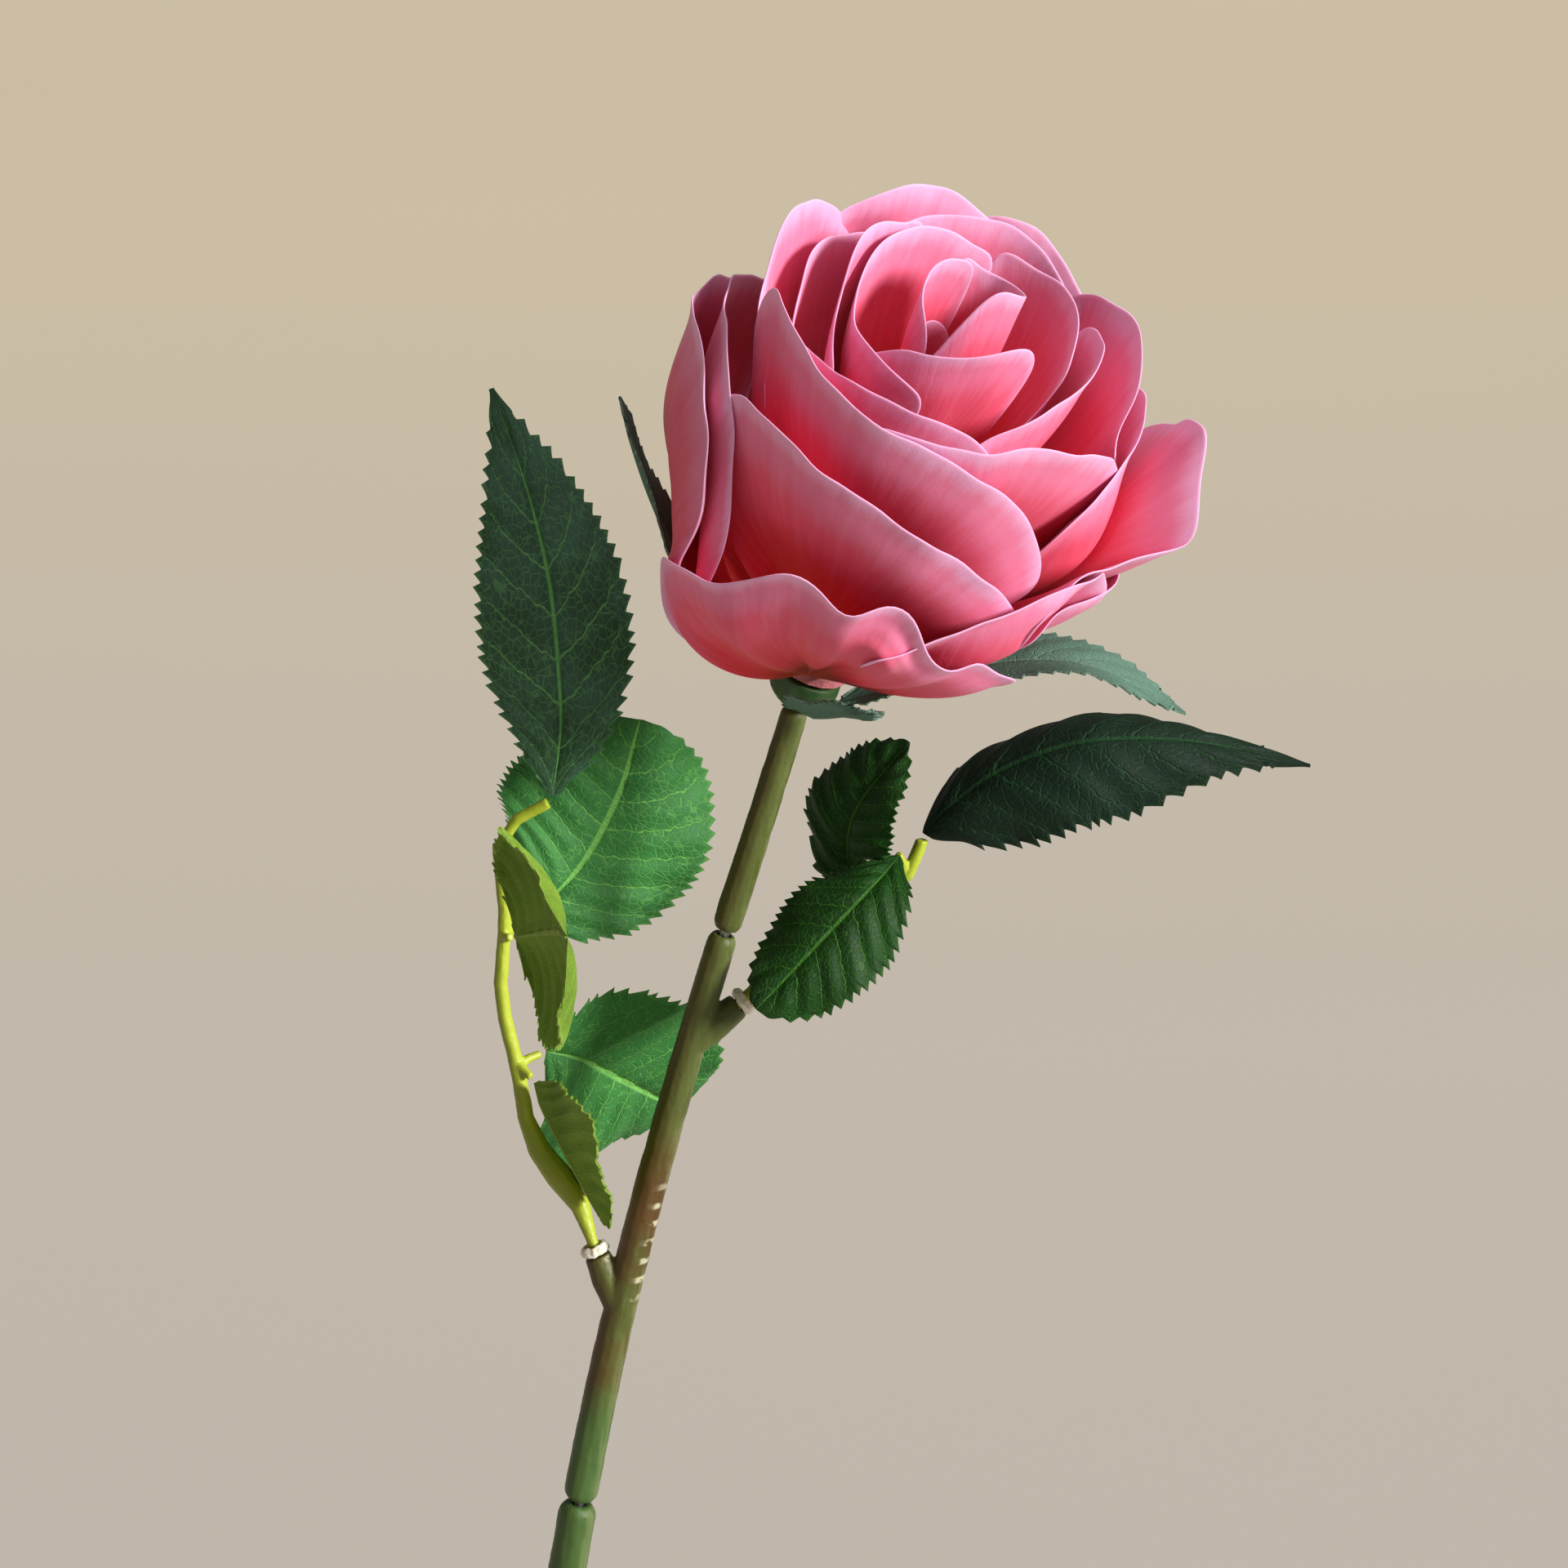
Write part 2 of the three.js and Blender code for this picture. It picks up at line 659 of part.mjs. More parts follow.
// The petals, from the middle of the flower outwards.
const INNER_PETALS = [
  {
    at: -95, half: 100, claw: [46, 2.6], top: [77, 73, 63],
    rim: [3.6, 5, 4.5], flare: [0, 0, 0], full: 1.6,
  },
  {
    at: 80, half: 122, claw: [43, 3.4], top: [62, 78, 76],
    rim: [6, 6.6, 6], flare: [0, 0.4, 0], full: 1.6,
  },
  {
    at: 105, half: 98, claw: [40, 4], top: [67, 77, 75],
    rim: [8, 8.6, 8], flare: [0, 0.4, 0], full: 1.6,
  },
  {
    at: 2, half: 62, claw: [37, 4.6], top: [64, 70, 76],
    rim: [11, 11.2, 13], flare: [0, 0.4, 1.2], full: 1.7,
  },
  {
    at: -98, half: 100, claw: [34, 5], top: [74, 76, 60],
    rim: [13.6, 14.5, 14], flare: [0.4, 0.4, 0.4], full: 1.6,
  },
  {
    at: 122, half: 72, claw: [32, 5.4], top: [69, 75, 72],
    rim: [14.5, 15.4, 14], flare: [0.4, 0.4, 0.4], full: 1.6,
  },
  {
    at: -112, half: 62, claw: [30, 5.8], top: [72, 76, 60],
    rim: [17, 17.5, 16.5], full: 1.7,
  },
  {
    at: 165, half: 72, claw: [28, 6.2], top: [68, 76, 70],
    rim: [18, 18.6, 19], full: 1.7,
  },
  {
    at: 74, half: 66, claw: [26, 6.4], top: [62, 74, 70],
    rim: [19, 20, 20.4], full: 1.8,
  },
  {
    at: -30, half: 74, claw: [24, 6.6], top: [60, 65, 64],
    rim: [20.5, 21, 21.5], full: 1.9,
  },
];
const MIDDLE_PETALS = [
  {
    at: -128, half: 60, claw: [22.5, 6.8], top: [68, 73, 66],
    rim: [22, 23, 23], full: 1.8,
  },
  {
    at: -102, half: 50, claw: [21, 6.8], top: [65, 74, 58],
    rim: [26, 28, 27], flare: [1, 2, 1], full: 1.6,
  },
  {
    at: 42, half: 58, claw: [19.5, 6.8], top: [66, 70, 49],
    rim: [27, 28.5, 28.5], flare: [0.6, 1, 1.4], full: 1.9,
  },
  {
    at: -4, half: 65, claw: [18, 6.8], top: [84, 66, 56],
    rim: [28.5, 29, 29.5], flare: [1.4, 1, 1], full: 2,
  },
  {
    at: -155, half: 58, claw: [17, 6.8], top: [69, 75, 68],
    rim: [25, 25.5, 25], flare: [1, 1.6, 1], full: 1.8,
  },
  {
    at: 164, half: 54, claw: [16, 6.8], top: [65, 74, 70],
    rim: [26, 26.5, 26], flare: [1, 1.6, 1], full: 1.8,
  },
  {
    at: 98, half: 56, claw: [15, 6.8], top: [63, 72, 67],
    rim: [24.5, 25.5, 24.5], flare: [0.4, 0.6, 0.4], full: 1.8,
  },
];
const OUTER_PETALS = [
  {
    at: 82, half: 46, claw: [13.9, 6.8], top: [57, 66, 62],
    rim: [28.5, 30, 28.5], flare: [1, 2, 1], full: 1.7,
  },
  {
    at: -12, half: 56, claw: [12.9, 6.8], top: [64, 54.5, 50],
    rim: [32.5, 33, 32], flare: [0.6, 0.6, 1.2], full: 2.1,
  },
  {
    at: -98, half: 54, claw: [11.9, 6.8], top: [55, 59, 58],
    rim: [33, 35, 35], flare: [1, 1, 2.5], full: 2.1,
  },
  {
    at: 172, half: 58, claw: [10.9, 6.8], top: [58, 64, 60],
    rim: [28.5, 29, 28.5], flare: [1, 2.5, 1], full: 1.9,
  },
  {
    at: 76, half: 46, claw: [9.9, 6.6], top: [54, 61, 55],
    rim: [32, 34, 32.5], flare: [3, 8, 4], full: 1.7,
  },
  {
    at: -118, half: 54, claw: [9, 6.4], top: [49, 54, 54],
    rim: [36, 40, 39], flare: [2, 1.5, 1], full: 2.2,
  },
  {
    at: 34, half: 40, claw: [8.1, 6.1], top: [34, 44, 54],
    rim: [33, 33.5, 35], flare: [1, 1, 2], full: 1.8,
  },
  {
    at: 140, half: 50, claw: [7.2, 5.8], top: [46, 54, 48],
    rim: [31, 32, 31], flare: [2, 4, 2], full: 1.9,
  },
  {
    at: 88, half: 42, claw: [6.3, 5.4], top: [36, 43, 38],
    rim: [32, 34, 33], flare: [1, 2, 1], full: 1.8,
  },
  {
    at: -150, half: 48, claw: [5.3, 5], top: [38, 46, 40],
    rim: [32, 33, 32], flare: [2, 4, 2], full: 2,
  },
  {
    at: -6, half: 54, claw: [4.6, 4.6], top: [31, 38, 32],
    rim: [37, 35, 36], flare: [1.5, 1.5, 4], full: 2,
  },
];

function core() {
  const { bottom, top, radius } = CORE;
  const outline = evenly(0, 1, 8).map((s) => {
    return [radius * Math.sqrt(1 - s * s) ** 1.3, bottom + (top - bottom) * s];
  });
  return { outline, solid: turned([[0, bottom], ...outline], 16) };
}

// The cup is bored from below for the wire, which ends inside it.
function cup(intoHead) {
  const { bottom, top, radius, stalkRadius } = CUP;
  const outline = [
    [0, bottom],
    [stalkRadius, bottom],
    [radius * 0.8, bottom + 0.6],
    [radius, bottom + 1.9],
    [radius, top],
    [0, top],
  ];
  const bore = wireWay(0.95, 0.9985).applyMatrix4(intoHead);
  return fromSolid(toSolid(turned(outline, 16)).subtract(toSolid(bore)));
}

function flowerHead(group) {
  const { outline, solid } = core();
  const head = new THREE.Group();
  head.position.copy(HEAD.base);
  head.rotation.set(HEAD.nod, HEAD.lean, 0, "YXZ");
  group.add(head);
  piece("foam_core", solid, FOAM, head);
  for (let i = 0; i + 1 < outline.length; i++) {
    for (const s of evenly(0, 1, 10)) {
      const height = outline[i][1] + (outline[i + 1][1] - outline[i][1]) * s;
      const radius = outline[i][0] + (outline[i + 1][0] - outline[i][0]) * s;
      for (let angle = 0; angle < 360; angle += 2) filled.cover(angle, height, radius + CLEARANCE);
    }
  }
  let number = 1;
  const lay = (petals, across, up) => {
    for (const petal of petals) {
      const name = `petal_${String(number).padStart(2, "0")}`;
      piece(name, layPetal(petal, across, up), PETAL_PINK, head);
      number += 1;
    }
  };
  lay(INNER_PETALS, 8, 5);
  lay(MIDDLE_PETALS, 10, 5);
  lay(OUTER_PETALS, 10, 6);
  head.updateMatrix();
  piece("flower_cup", cup(head.matrix.clone().invert()), CUP_PLASTIC, head);
  sepals(head);
}

// Five sepals stand round the cup. Each has its own angle, share of the full length, and slopes.
function sepals(head) {
  const { length, width, seat } = SEPAL;
  const stations = [
    { angle: -88, reach: 1, rise: [0.72, 1.1, 1.4] },
    { angle: 16, reach: 0.5, rise: [0.74, 0.8, 0.8] },
    { angle: 92, reach: 1.2, rise: [0.74, 0.58, -0.1] },
    { angle: 150, reach: 0.95, rise: [0.62, 0.6, 0.2] },
    { angle: -150, reach: 0.9, rise: [0.68, 0.7, 0.4] },
  ];
  stations.forEach(({ angle, reach, rise }, i) => {
    const rib = [polar(angle, -1, seat)];
    const step = (length * reach) / rise.length;
    rise.forEach((slope) => {
      const last = rib[rib.length - 1];
      const tilt = Math.atan(slope);
      const height = last.z + step * Math.sin(tilt);
      rib.push(polar(angle, height, radiusOf(last) + step * Math.cos(tilt)));
    });
    const blade = leafBlade({
      rib: rib.map((point) => point.toArray()),
      half: width / 2,
      up: [0, 0, 1],
      fold: 8,
      widest: 0.35,
      point: 1.1,
      grid: [4, 8],
    });
    piece(`sepal_${i + 1}`, blade, SEPAL_CLOTH, head);
  });
}

// ---- The whole part ----------------------------------------------------------------------------

const rose = new THREE.Group();
piece("bud_vase", vase(), GLAZE, rose);
const plant = new THREE.Group();
plant.position.set(PLANT_SHIFT, 0, PLANT_RISE);
rose.add(plant);
stem(plant);
leftSpray(plant);
rightSpray(plant);
flowerHead(plant);

export default rose;
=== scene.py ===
import math

import bpy
import numpy as np
from mathutils import Matrix, Vector


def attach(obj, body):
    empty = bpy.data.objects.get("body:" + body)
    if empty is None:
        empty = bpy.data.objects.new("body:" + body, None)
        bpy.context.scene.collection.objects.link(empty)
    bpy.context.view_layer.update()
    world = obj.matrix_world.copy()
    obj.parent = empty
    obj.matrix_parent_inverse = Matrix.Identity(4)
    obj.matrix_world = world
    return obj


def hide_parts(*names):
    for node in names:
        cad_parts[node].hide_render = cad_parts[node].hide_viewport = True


# The looks of an artificial rose standing in a ceramic bud vase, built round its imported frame.

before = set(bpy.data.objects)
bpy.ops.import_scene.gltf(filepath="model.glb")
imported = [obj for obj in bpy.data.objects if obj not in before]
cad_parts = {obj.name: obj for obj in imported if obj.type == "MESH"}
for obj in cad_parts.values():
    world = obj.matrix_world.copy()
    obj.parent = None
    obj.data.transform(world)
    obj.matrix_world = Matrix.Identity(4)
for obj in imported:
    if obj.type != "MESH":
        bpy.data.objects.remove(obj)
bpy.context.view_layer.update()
MM = 0.001

# ---- Studio ------------------------------------------------------------------------------------
# A wide pale warm table, a low soft light in front to the right that reaches under the nodding
# petals, a weaker one above, and a camera a little above the flower, looking slightly down.


def clear_selection():
    if bpy.context.mode != "OBJECT":
        bpy.ops.object.mode_set(mode="OBJECT")
    bpy.ops.object.select_all(action="DESELECT")


class Line:
    """A value or a colour on its way through a material."""

    def __init__(self, finish, socket):
        self.finish = finish
        self.socket = socket

    def __add__(self, other):
        return self.finish.maths("ADD", self, other)

    def __radd__(self, other):
        return self.finish.maths("ADD", other, self)

    def __sub__(self, other):
        return self.finish.maths("SUBTRACT", self, other)

    def __rsub__(self, other):
        return self.finish.maths("SUBTRACT", other, self)

    def __mul__(self, other):
        return self.finish.maths("MULTIPLY", self, other)

    def __rmul__(self, other):
        return self.finish.maths("MULTIPLY", other, self)

    def __truediv__(self, other):
        return self.finish.maths("DIVIDE", self, other)


class Finish:
    """A procedural material on one Principled shader, whose steady values are set here."""

    def __init__(self, name, **steady):
        self.material = bpy.data.materials.new(name)
        self.material.use_nodes = True
        self.tree = self.material.node_tree
        self.shader = next(n for n in self.tree.nodes if n.type == "BSDF_PRINCIPLED")
        for socket, value in steady.items():
            self.shader.inputs[socket.replace("_", " ")].default_value = value

    def node(self, kind, settings, values, out=0):
        """Any node: its settings first, then the values or links of its sockets."""
        made = self.tree.nodes.new(kind)
        for key, value in settings.items():
            setattr(made, key, value)
        for key, value in values.items():
            if isinstance(value, Line):
                self.tree.links.new(value.socket, made.inputs[key])
            else:
                made.inputs[key].default_value = value
        return Line(self, made.outputs[out])

    def maths(self, operation, *values):
        return self.node("ShaderNodeMath", {"operation": operation}, dict(enumerate(values)))

    def step(self, value, low, high, at_low=0.0, at_high=1.0):
        """Goes smoothly from one value to another while value goes from low to high."""
        return self.node(
            "ShaderNodeMapRange",
            {"interpolation_type": "SMOOTHSTEP"},
            {0: value, 1: low, 2: high, 3: at_low, 4: at_high},
        )

    def mix(self, share, first, second, way="MIX"):
        return self.node(
            "ShaderNodeMix",
            {"data_type": "RGBA", "blend_type": way},
            {0: share, 6: first, 7: second},
            out=2,
        )

    def place(self, scale=(1, 1, 1), turn=(0, 0, 0), uv=False):
        """Object coordinates in metres, or the piece's own map, stretched and turned."""
        start = self.node("ShaderNodeTexCoord", {}, {}, out="UV" if uv else "Object")
        return self.node(
            "ShaderNodeMapping", {}, {"Vector": start, "Scale": scale, "Rotation": turn}
        )

    def noise(self, place, scale, detail=3.0, rough=0.55):
        values = {"Vector": place, "Scale": scale, "Detail": detail, "Roughness": rough}
        return self.node("ShaderNodeTexNoise", {}, values)

    def split(self, place, axis):
        return self.node("ShaderNodeSeparateXYZ", {}, {0: place}, out=axis)

    def bump(self, height, distance, strength=1.0):
        values = {"Height": height, "Distance": distance, "Strength": strength}
        return self.node("ShaderNodeBump", {}, values)

    def feed(self, **lines):
        for socket, line in lines.items():
            self.tree.links.new(line.socket, self.shader.inputs[socket.replace("_", " ")])
        return self.material


def tint(red, green, blue):
    """A colour as it looks on screen, from 0 to 1, as the shader takes it."""
    linear = [c / 12.92 if c <= 0.04045 else ((c + 0.055) / 1.055) ** 2.4 for c in (red, green, blue)]
    return (*linear, 1.0)


TABLE_SIZE = 16.0
TABLE_MIDDLE = 4.0

clear_selection()
bpy.ops.mesh.primitive_plane_add(size=TABLE_SIZE, location=(0, TABLE_MIDDLE, 0))
table = bpy.context.object
table.name = "pale_table"
bpy.ops.object.transform_apply(location=True, rotation=True, scale=True)
plaster = Finish("pale_plaster", Roughness=1.0, Specular_IOR_Level=0.0)
# Greyer near the camera and brighter and warmer far off: painted light fall-off across the table.
far = plaster.step(plaster.split(plaster.place(), "Y"), 0.2, 2.6)
cloud = plaster.noise(plaster.place(), 0.7, detail=2.0)
near_tone = plaster.mix(cloud, tint(0.735, 0.708, 0.676), tint(0.755, 0.726, 0.694))
far_tone = plaster.mix(cloud, tint(0.775, 0.73, 0.642), tint(0.795, 0.75, 0.66))
table.data.materials.append(plaster.feed(Base_Color=plaster.mix(far, near_tone, far_tone)))


def soft_sun(name, place, strength, spread, colour):
    clear_selection()
    bpy.ops.object.light_add(type="SUN", location=place)
    lamp = bpy.context.object
    lamp.name = name
    lamp.data.energy = strength
    lamp.data.angle = math.radians(spread)
    lamp.data.color = colour
    lamp.rotation_euler = (-Vector(place)).to_track_quat("-Z", "Y").to_euler()


soft_sun("light_right", (0.80, -0.57, 0.32), 5.0, 16, (1.0, 0.985, 0.965))
soft_sun("light_above", (0.2, -0.2, 1.0), 1.1, 40, (1.0, 0.99, 0.97))

world = bpy.data.worlds.new("soft_room")
bpy.context.scene.world = world
world.use_nodes = True
world.node_tree.nodes["Background"].inputs["Color"].default_value = tint(0.90, 0.87, 0.83)
world.node_tree.nodes["Background"].inputs["Strength"].default_value = 0.26

LOOK_AT = Vector((0.0424, 0.0, 0.294))
CAMERA_FROM = 0.8
CAMERA_ABOVE = math.radians(15)
VIEW_WIDTH = 0.2496  # at LOOK_AT
SENSOR = 36.0

clear_selection()
bpy.ops.object.camera_add()
camera = bpy.context.object
camera.location = LOOK_AT + CAMERA_FROM * Vector((0, -math.cos(CAMERA_ABOVE), math.sin(CAMERA_ABOVE)))
camera.rotation_euler = (math.radians(90) - CAMERA_ABOVE, 0, 0)
camera.data.sensor_width = SENSOR
camera.data.lens = SENSOR * CAMERA_FROM / VIEW_WIDTH
camera.data.clip_start = 0.01
bpy.context.scene.camera = camera
bpy.context.scene.view_settings.view_transform = "Standard"

# ---- Bud vase ----------------------------------------------------------------------------------
# A small bottle of pale stoneware with a narrow neck, in an off-white glaze that thins to the warm
# clay at the lip and stops short of the bare foot. Its form and its glaze are assumed.


def finish_piece(piece, node_names, auto_smooth=None):
    """Leaves the piece at the origin with its place in its mesh, smooths it, hangs it on the root body and
    hides the frame parts it stands for.
    """
    clear_selection()
    piece.select_set(True)
    bpy.context.view_layer.objects.active = piece
    bpy.ops.object.transform_apply(location=True, rotation=True, scale=True)
    if auto_smooth is None:
        bpy.ops.object.shade_smooth()
    else:
        bpy.ops.object.shade_smooth_by_angle(angle=math.radians(auto_smooth))
    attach(piece, "root")
    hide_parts(*node_names)


def use_modifier(piece, kind, **settings):
    clear_selection()
    piece.select_set(True)
    bpy.context.view_layer.objects.active = piece
    modifier = piece.modifiers.new(kind.lower(), kind)
    for key, value in settings.items():
        setattr(modifier, key, value)
    bpy.ops.object.modifier_apply(modifier=modifier.name)


VASE_OUTSIDE = [
    (23.4, 0.35), (24.6, 1.2), (26.2, 3.2), (29.3, 9), (33.4, 20), (35.6, 32), (36.1, 42),
    (34.9, 52), (31.9, 61), (27.4, 73), (22.5, 84), (17.3, 94), (13.3, 102), (11.2, 110),
    (10.6, 118), (10.6, 127), (10.9, 136), (11.4, 143.5), (11.75, 146.6), (11.3, 148.2),
]
VASE_INSIDE = [
    (10.2, 148.6), (9.1, 148.1), (8.5, 146.4), (8.1, 141), (7.85, 132), (7.6, 122), (7.6, 113),
    (8.9, 105), (12.6, 96), (19.5, 84), (26.0, 70), (30.4, 57), (32.9, 44), (32.0, 29), (28.6, 14),
    (24.0, 7.0), (15.0, 5.2),
]
FOOT_RING = [(22.6, 0.0), (20.8, 0.0), (20.0, 0.9), (10.0, 1.1)]


def rings(circle, steps):
    """Extrudes the selected ring through each [radius, height] step, in millimetres."""
    radius, height = circle
    for next_radius, next_height in steps:
        bpy.ops.mesh.extrude_edges_move(
            TRANSFORM_OT_translate={"value": (0, 0, (next_height - height) * MM)}
        )
        grow = next_radius / radius
        bpy.ops.transform.resize(value=(grow, grow, 1), center_override=(0, 0, next_height * MM))
        radius, height = next_radius, next_height
    bpy.ops.mesh.extrude_edges_move()
    bpy.ops.mesh.merge(type="CENTER")


clear_selection()
bpy.ops.mesh.primitive_circle_add(
    vertices=64, radius=VASE_OUTSIDE[0][0] * MM, location=(0, 0, VASE_OUTSIDE[0][1] * MM)
)
vase = bpy.context.object
vase.name = "glazed_bud_vase"
bpy.ops.object.transform_apply(location=True, rotation=True, scale=True)
bpy.ops.object.mode_set(mode="EDIT")
bpy.ops.mesh.select_all(action="SELECT")
rings(VASE_OUTSIDE[0], VASE_OUTSIDE[1:] + VASE_INSIDE)
bpy.ops.mesh.select_all(action="DESELECT")
bpy.ops.object.mode_set(mode="OBJECT")
for vertex in vase.data.vertices:
    vertex.select = vertex.co.z < (VASE_OUTSIDE[0][1] + 0.05) * MM
for edge in vase.data.edges:
    edge.select = all(vase.data.vertices[v].select for v in edge.vertices)
bpy.ops.object.mode_set(mode="EDIT")
rings(VASE_OUTSIDE[0], FOOT_RING)
bpy.ops.mesh.select_all(action="SELECT")
bpy.ops.mesh.remove_doubles(threshold=1e-6)
bpy.ops.mesh.normals_make_consistent(inside=False)
bpy.ops.object.mode_set(mode="OBJECT")
use_modifier(vase, "SUBSURF", levels=2, render_levels=2)

glaze = Finish("stoneware_glaze", Coat_Weight=0.6, Coat_Roughness=0.08, IOR=1.5)
at = glaze.place()
height = glaze.split(at, "Z")
cloudy = glaze.noise(at, 38.0, detail=4.0)
throwing = glaze.noise(glaze.place(scale=(30, 30, 420)), 1.0, detail=2.0)
speck = glaze.step(glaze.noise(at, 900.0, detail=1.0), 0.69, 0.74)
glazed = glaze.mix(cloudy, tint(0.80, 0.775, 0.73), tint(0.85, 0.83, 0.79))
glazed = glaze.mix(speck * 0.55, glazed, tint(0.62, 0.52, 0.42))
thin_lip = glaze.step(height, 0.1462, 0.1484)
glazed = glaze.mix(thin_lip * 0.6, glazed, tint(0.74, 0.62, 0.50))
bare = glaze.step(height + 0.0012 * glaze.noise(at, 60.0), 0.0042, 0.0034)
clay = glaze.mix(glaze.noise(at, 700.0), tint(0.70, 0.60, 0.49), tint(0.78, 0.68, 0.57))
waves = glaze.bump(throwing + 0.6 * cloudy, 0.00035, 0.35)
vase.data.materials.append(
    glaze.feed(
        Base_Color=glaze.mix(bare, glazed, clay),
        Roughness=glaze.step(bare, 0.0, 1.0, 0.22, 0.85) + 0.08 * cloudy,
        Normal=waves,
    )
)
finish_piece(vase, ["bud_vase"])

# ---- Stem --------------------------------------------------------------------------------------
# Three sleeves of olive plastic threaded on a steel wire. They are moulded with a faint bark, and their
# rounded ends meet with a small gap. Browner on the left-facing side: painted shade. Paler streaks on
# the right-facing side, and pale marks on fine ridges there: painted highlights.


def recast(node, name, voxel, passes, grain, grain_size):
    """A finer copy of a moulded CAD piece: its corners soften and its skin gets a slight grain."""
    clear_selection()
    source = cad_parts[node]
    piece = bpy.data.objects.new(name, source.data.copy())
    bpy.context.scene.collection.objects.link(piece)
    piece.data.materials.clear()
    piece.select_set(True)
    bpy.context.view_layer.objects.active = piece
    bpy.ops.object.mode_set(mode="EDIT")
    bpy.ops.mesh.select_all(action="SELECT")
    bpy.ops.mesh.remove_doubles(threshold=1e-6)
    bpy.ops.object.mode_set(mode="OBJECT")
    use_modifier(piece, "REMESH", mode="VOXEL", voxel_size=voxel * MM)
    use_modifier(piece, "SMOOTH", factor=0.6, iterations=passes)
    clouds = bpy.data.textures.new(name + "_grain", "CLOUDS")
    clouds.noise_scale = grain_size * MM
    use_modifier(piece, "DISPLACE", texture=clouds, strength=grain * MM, texture_coords="LOCAL")
    return piece


sleeves = {
    "stem_sleeve_lower": ("moulded_stem_lower", 0.34),
    "stem_sleeve_middle": ("moulded_stem_middle", 0.30),
    "stem_sleeve_upper": ("moulded_stem_upper", 0.26),
}
STEM_TILT = math.radians(-11)

bark = Finish("stem_plastic", Specular_IOR_Level=0.45)
at = bark.place()
streaks = bark.noise(bark.place(scale=(520, 520, 26), turn=(0, STEM_TILT, 0)), 1.0, detail=4.0)
patches = bark.noise(at, 55.0, detail=3.0)
facing = bark.split(bark.node("ShaderNodeNewGeometry", {}, {}, out="Normal"), "X")
height = bark.split(at, "Z")
green = bark.mix(streaks, tint(0.23, 0.27, 0.065), tint(0.35, 0.39, 0.15))
shade_side_brown = bark.mix(streaks, tint(0.22, 0.18, 0.04), tint(0.32, 0.27, 0.085))
warm = bark.mix(streaks, tint(0.27, 0.145, 0.02), tint(0.37, 0.22, 0.055))
# Browner where the surface faces left, away from the lamp on the right: painted shade.
painted_shade_left = bark.step(facing + 0.5 * (patches - 0.5), 0.35, -0.75)
skin = bark.mix(painted_shade_left * 0.85, green, shade_side_brown)
warm_zone = bark.step(height, 0.186, 0.200) * bark.step(height, 0.246, 0.226)
skin = bark.mix(warm_zone * bark.step(patches, 0.36, 0.58) * 0.8, skin, warm)
low_green = bark.step(height, 0.196, 0.184)
skin = bark.mix(low_green * 0.75, skin, bark.mix(streaks, tint(0.17, 0.29, 0.10), tint(0.26, 0.41, 0.18)))
# Pale streaks where the surface faces right, towards the lamp: painted highlight.
painted_highlight_streaks = bark.step(facing, 0.35, 0.95) * bark.step(streaks, 0.40, 0.62)
# Near-white marks on fine rings across the right-facing side of one band of the stem: painted highlights on
# ridges.
ribs = bark.maths("SINE", height * 1900.0 + 3.0 * patches)
painted_ridge_highlights = bark.step(facing, 0.1, 0.8) * bark.step(height, 0.205, 0.212) * bark.step(height, 0.232, 0.224)
painted_ridge_highlights = painted_ridge_highlights * bark.step(ribs, 0.2, 0.9) * bark.step(bark.noise(at, 420.0), 0.42, 0.55)
skin = bark.mix(painted_highlight_streaks * 0.4, skin, tint(0.50, 0.52, 0.36))
skin = bark.mix(painted_ridge_highlights * 0.8, skin, tint(0.78, 0.77, 0.64))
stem_finish = bark.feed(
    Base_Color=skin,
    Roughness=0.38 + 0.25 * streaks,
    Normal=bark.bump(streaks + 0.4 * bark.noise(at, 1400.0), 0.00025, 0.5),
)
for node, (name, voxel) in sleeves.items():
    sleeve = recast(node, name, voxel, passes=5, grain=0.22, grain_size=3.2)
    sleeve.data.materials.append(stem_finish)
    finish_piece(sleeve, [node])

# The wire stays as it is in the frame: drawn steel, seen only as a glint in the sleeves' joints.
steel = Finish("drawn_wire", Metallic=1.0)
drawn = steel.noise(steel.place(scale=(2500, 2500, 60), turn=(0, STEM_TILT, 0)), 1.0)
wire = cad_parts["stem_wire"]
wire.data.materials.clear()
wire.data.materials.append(
    steel.feed(
        Base_Color=steel.mix(drawn, tint(0.50, 0.50, 0.49), tint(0.68, 0.68, 0.66)),
        Roughness=0.25 + 0.3 * drawn,
    )
)

# ---- Leaf stalks and glue ----------------------------------------------------------------------
# Two soft plastic stalks in a clear yellow green, plugged into the side sockets of the middle
# sleeve. A bead of hot glue, cloudy and glossy, runs round each socket's mouth.

lime = Finish("stalk_plastic", Specular_IOR_Level=0.5, Subsurface_Weight=0.15, Subsurface_Scale=0.001)
at = lime.place()
mottle = lime.noise(at, 160.0, detail=3.0)
facing = lime.split(lime.node("ShaderNodeNewGeometry", {}, {}, out="Normal"), "X")
# Paler where the stalk faces right, towards the lamp, deeper where it faces left: painted light and shade.
pale = lime.mix(mottle, tint(0.62, 0.68, 0.12), tint(0.72, 0.77, 0.24))
deep = lime.mix(mottle, tint(0.46, 0.53, 0.06), tint(0.58, 0.62, 0.12))
stalk_finish = lime.feed(
    Base_Color=lime.mix(lime.step(facing, -0.5, 0.6), deep, pale),
    Roughness=0.35 + 0.2 * mottle,
    Normal=lime.bump(lime.noise(at, 900.0), 0.0002, 0.4),
)
for node, name in {"left_stalk": "moulded_stalk_left", "right_stalk": "moulded_stalk_right"}.items():
    stalk = recast(node, name, voxel=0.24, passes=4, grain=0.2, grain_size=2.6)
    stalk.data.materials.append(stalk_finish)
    finish_piece(stalk, [node])

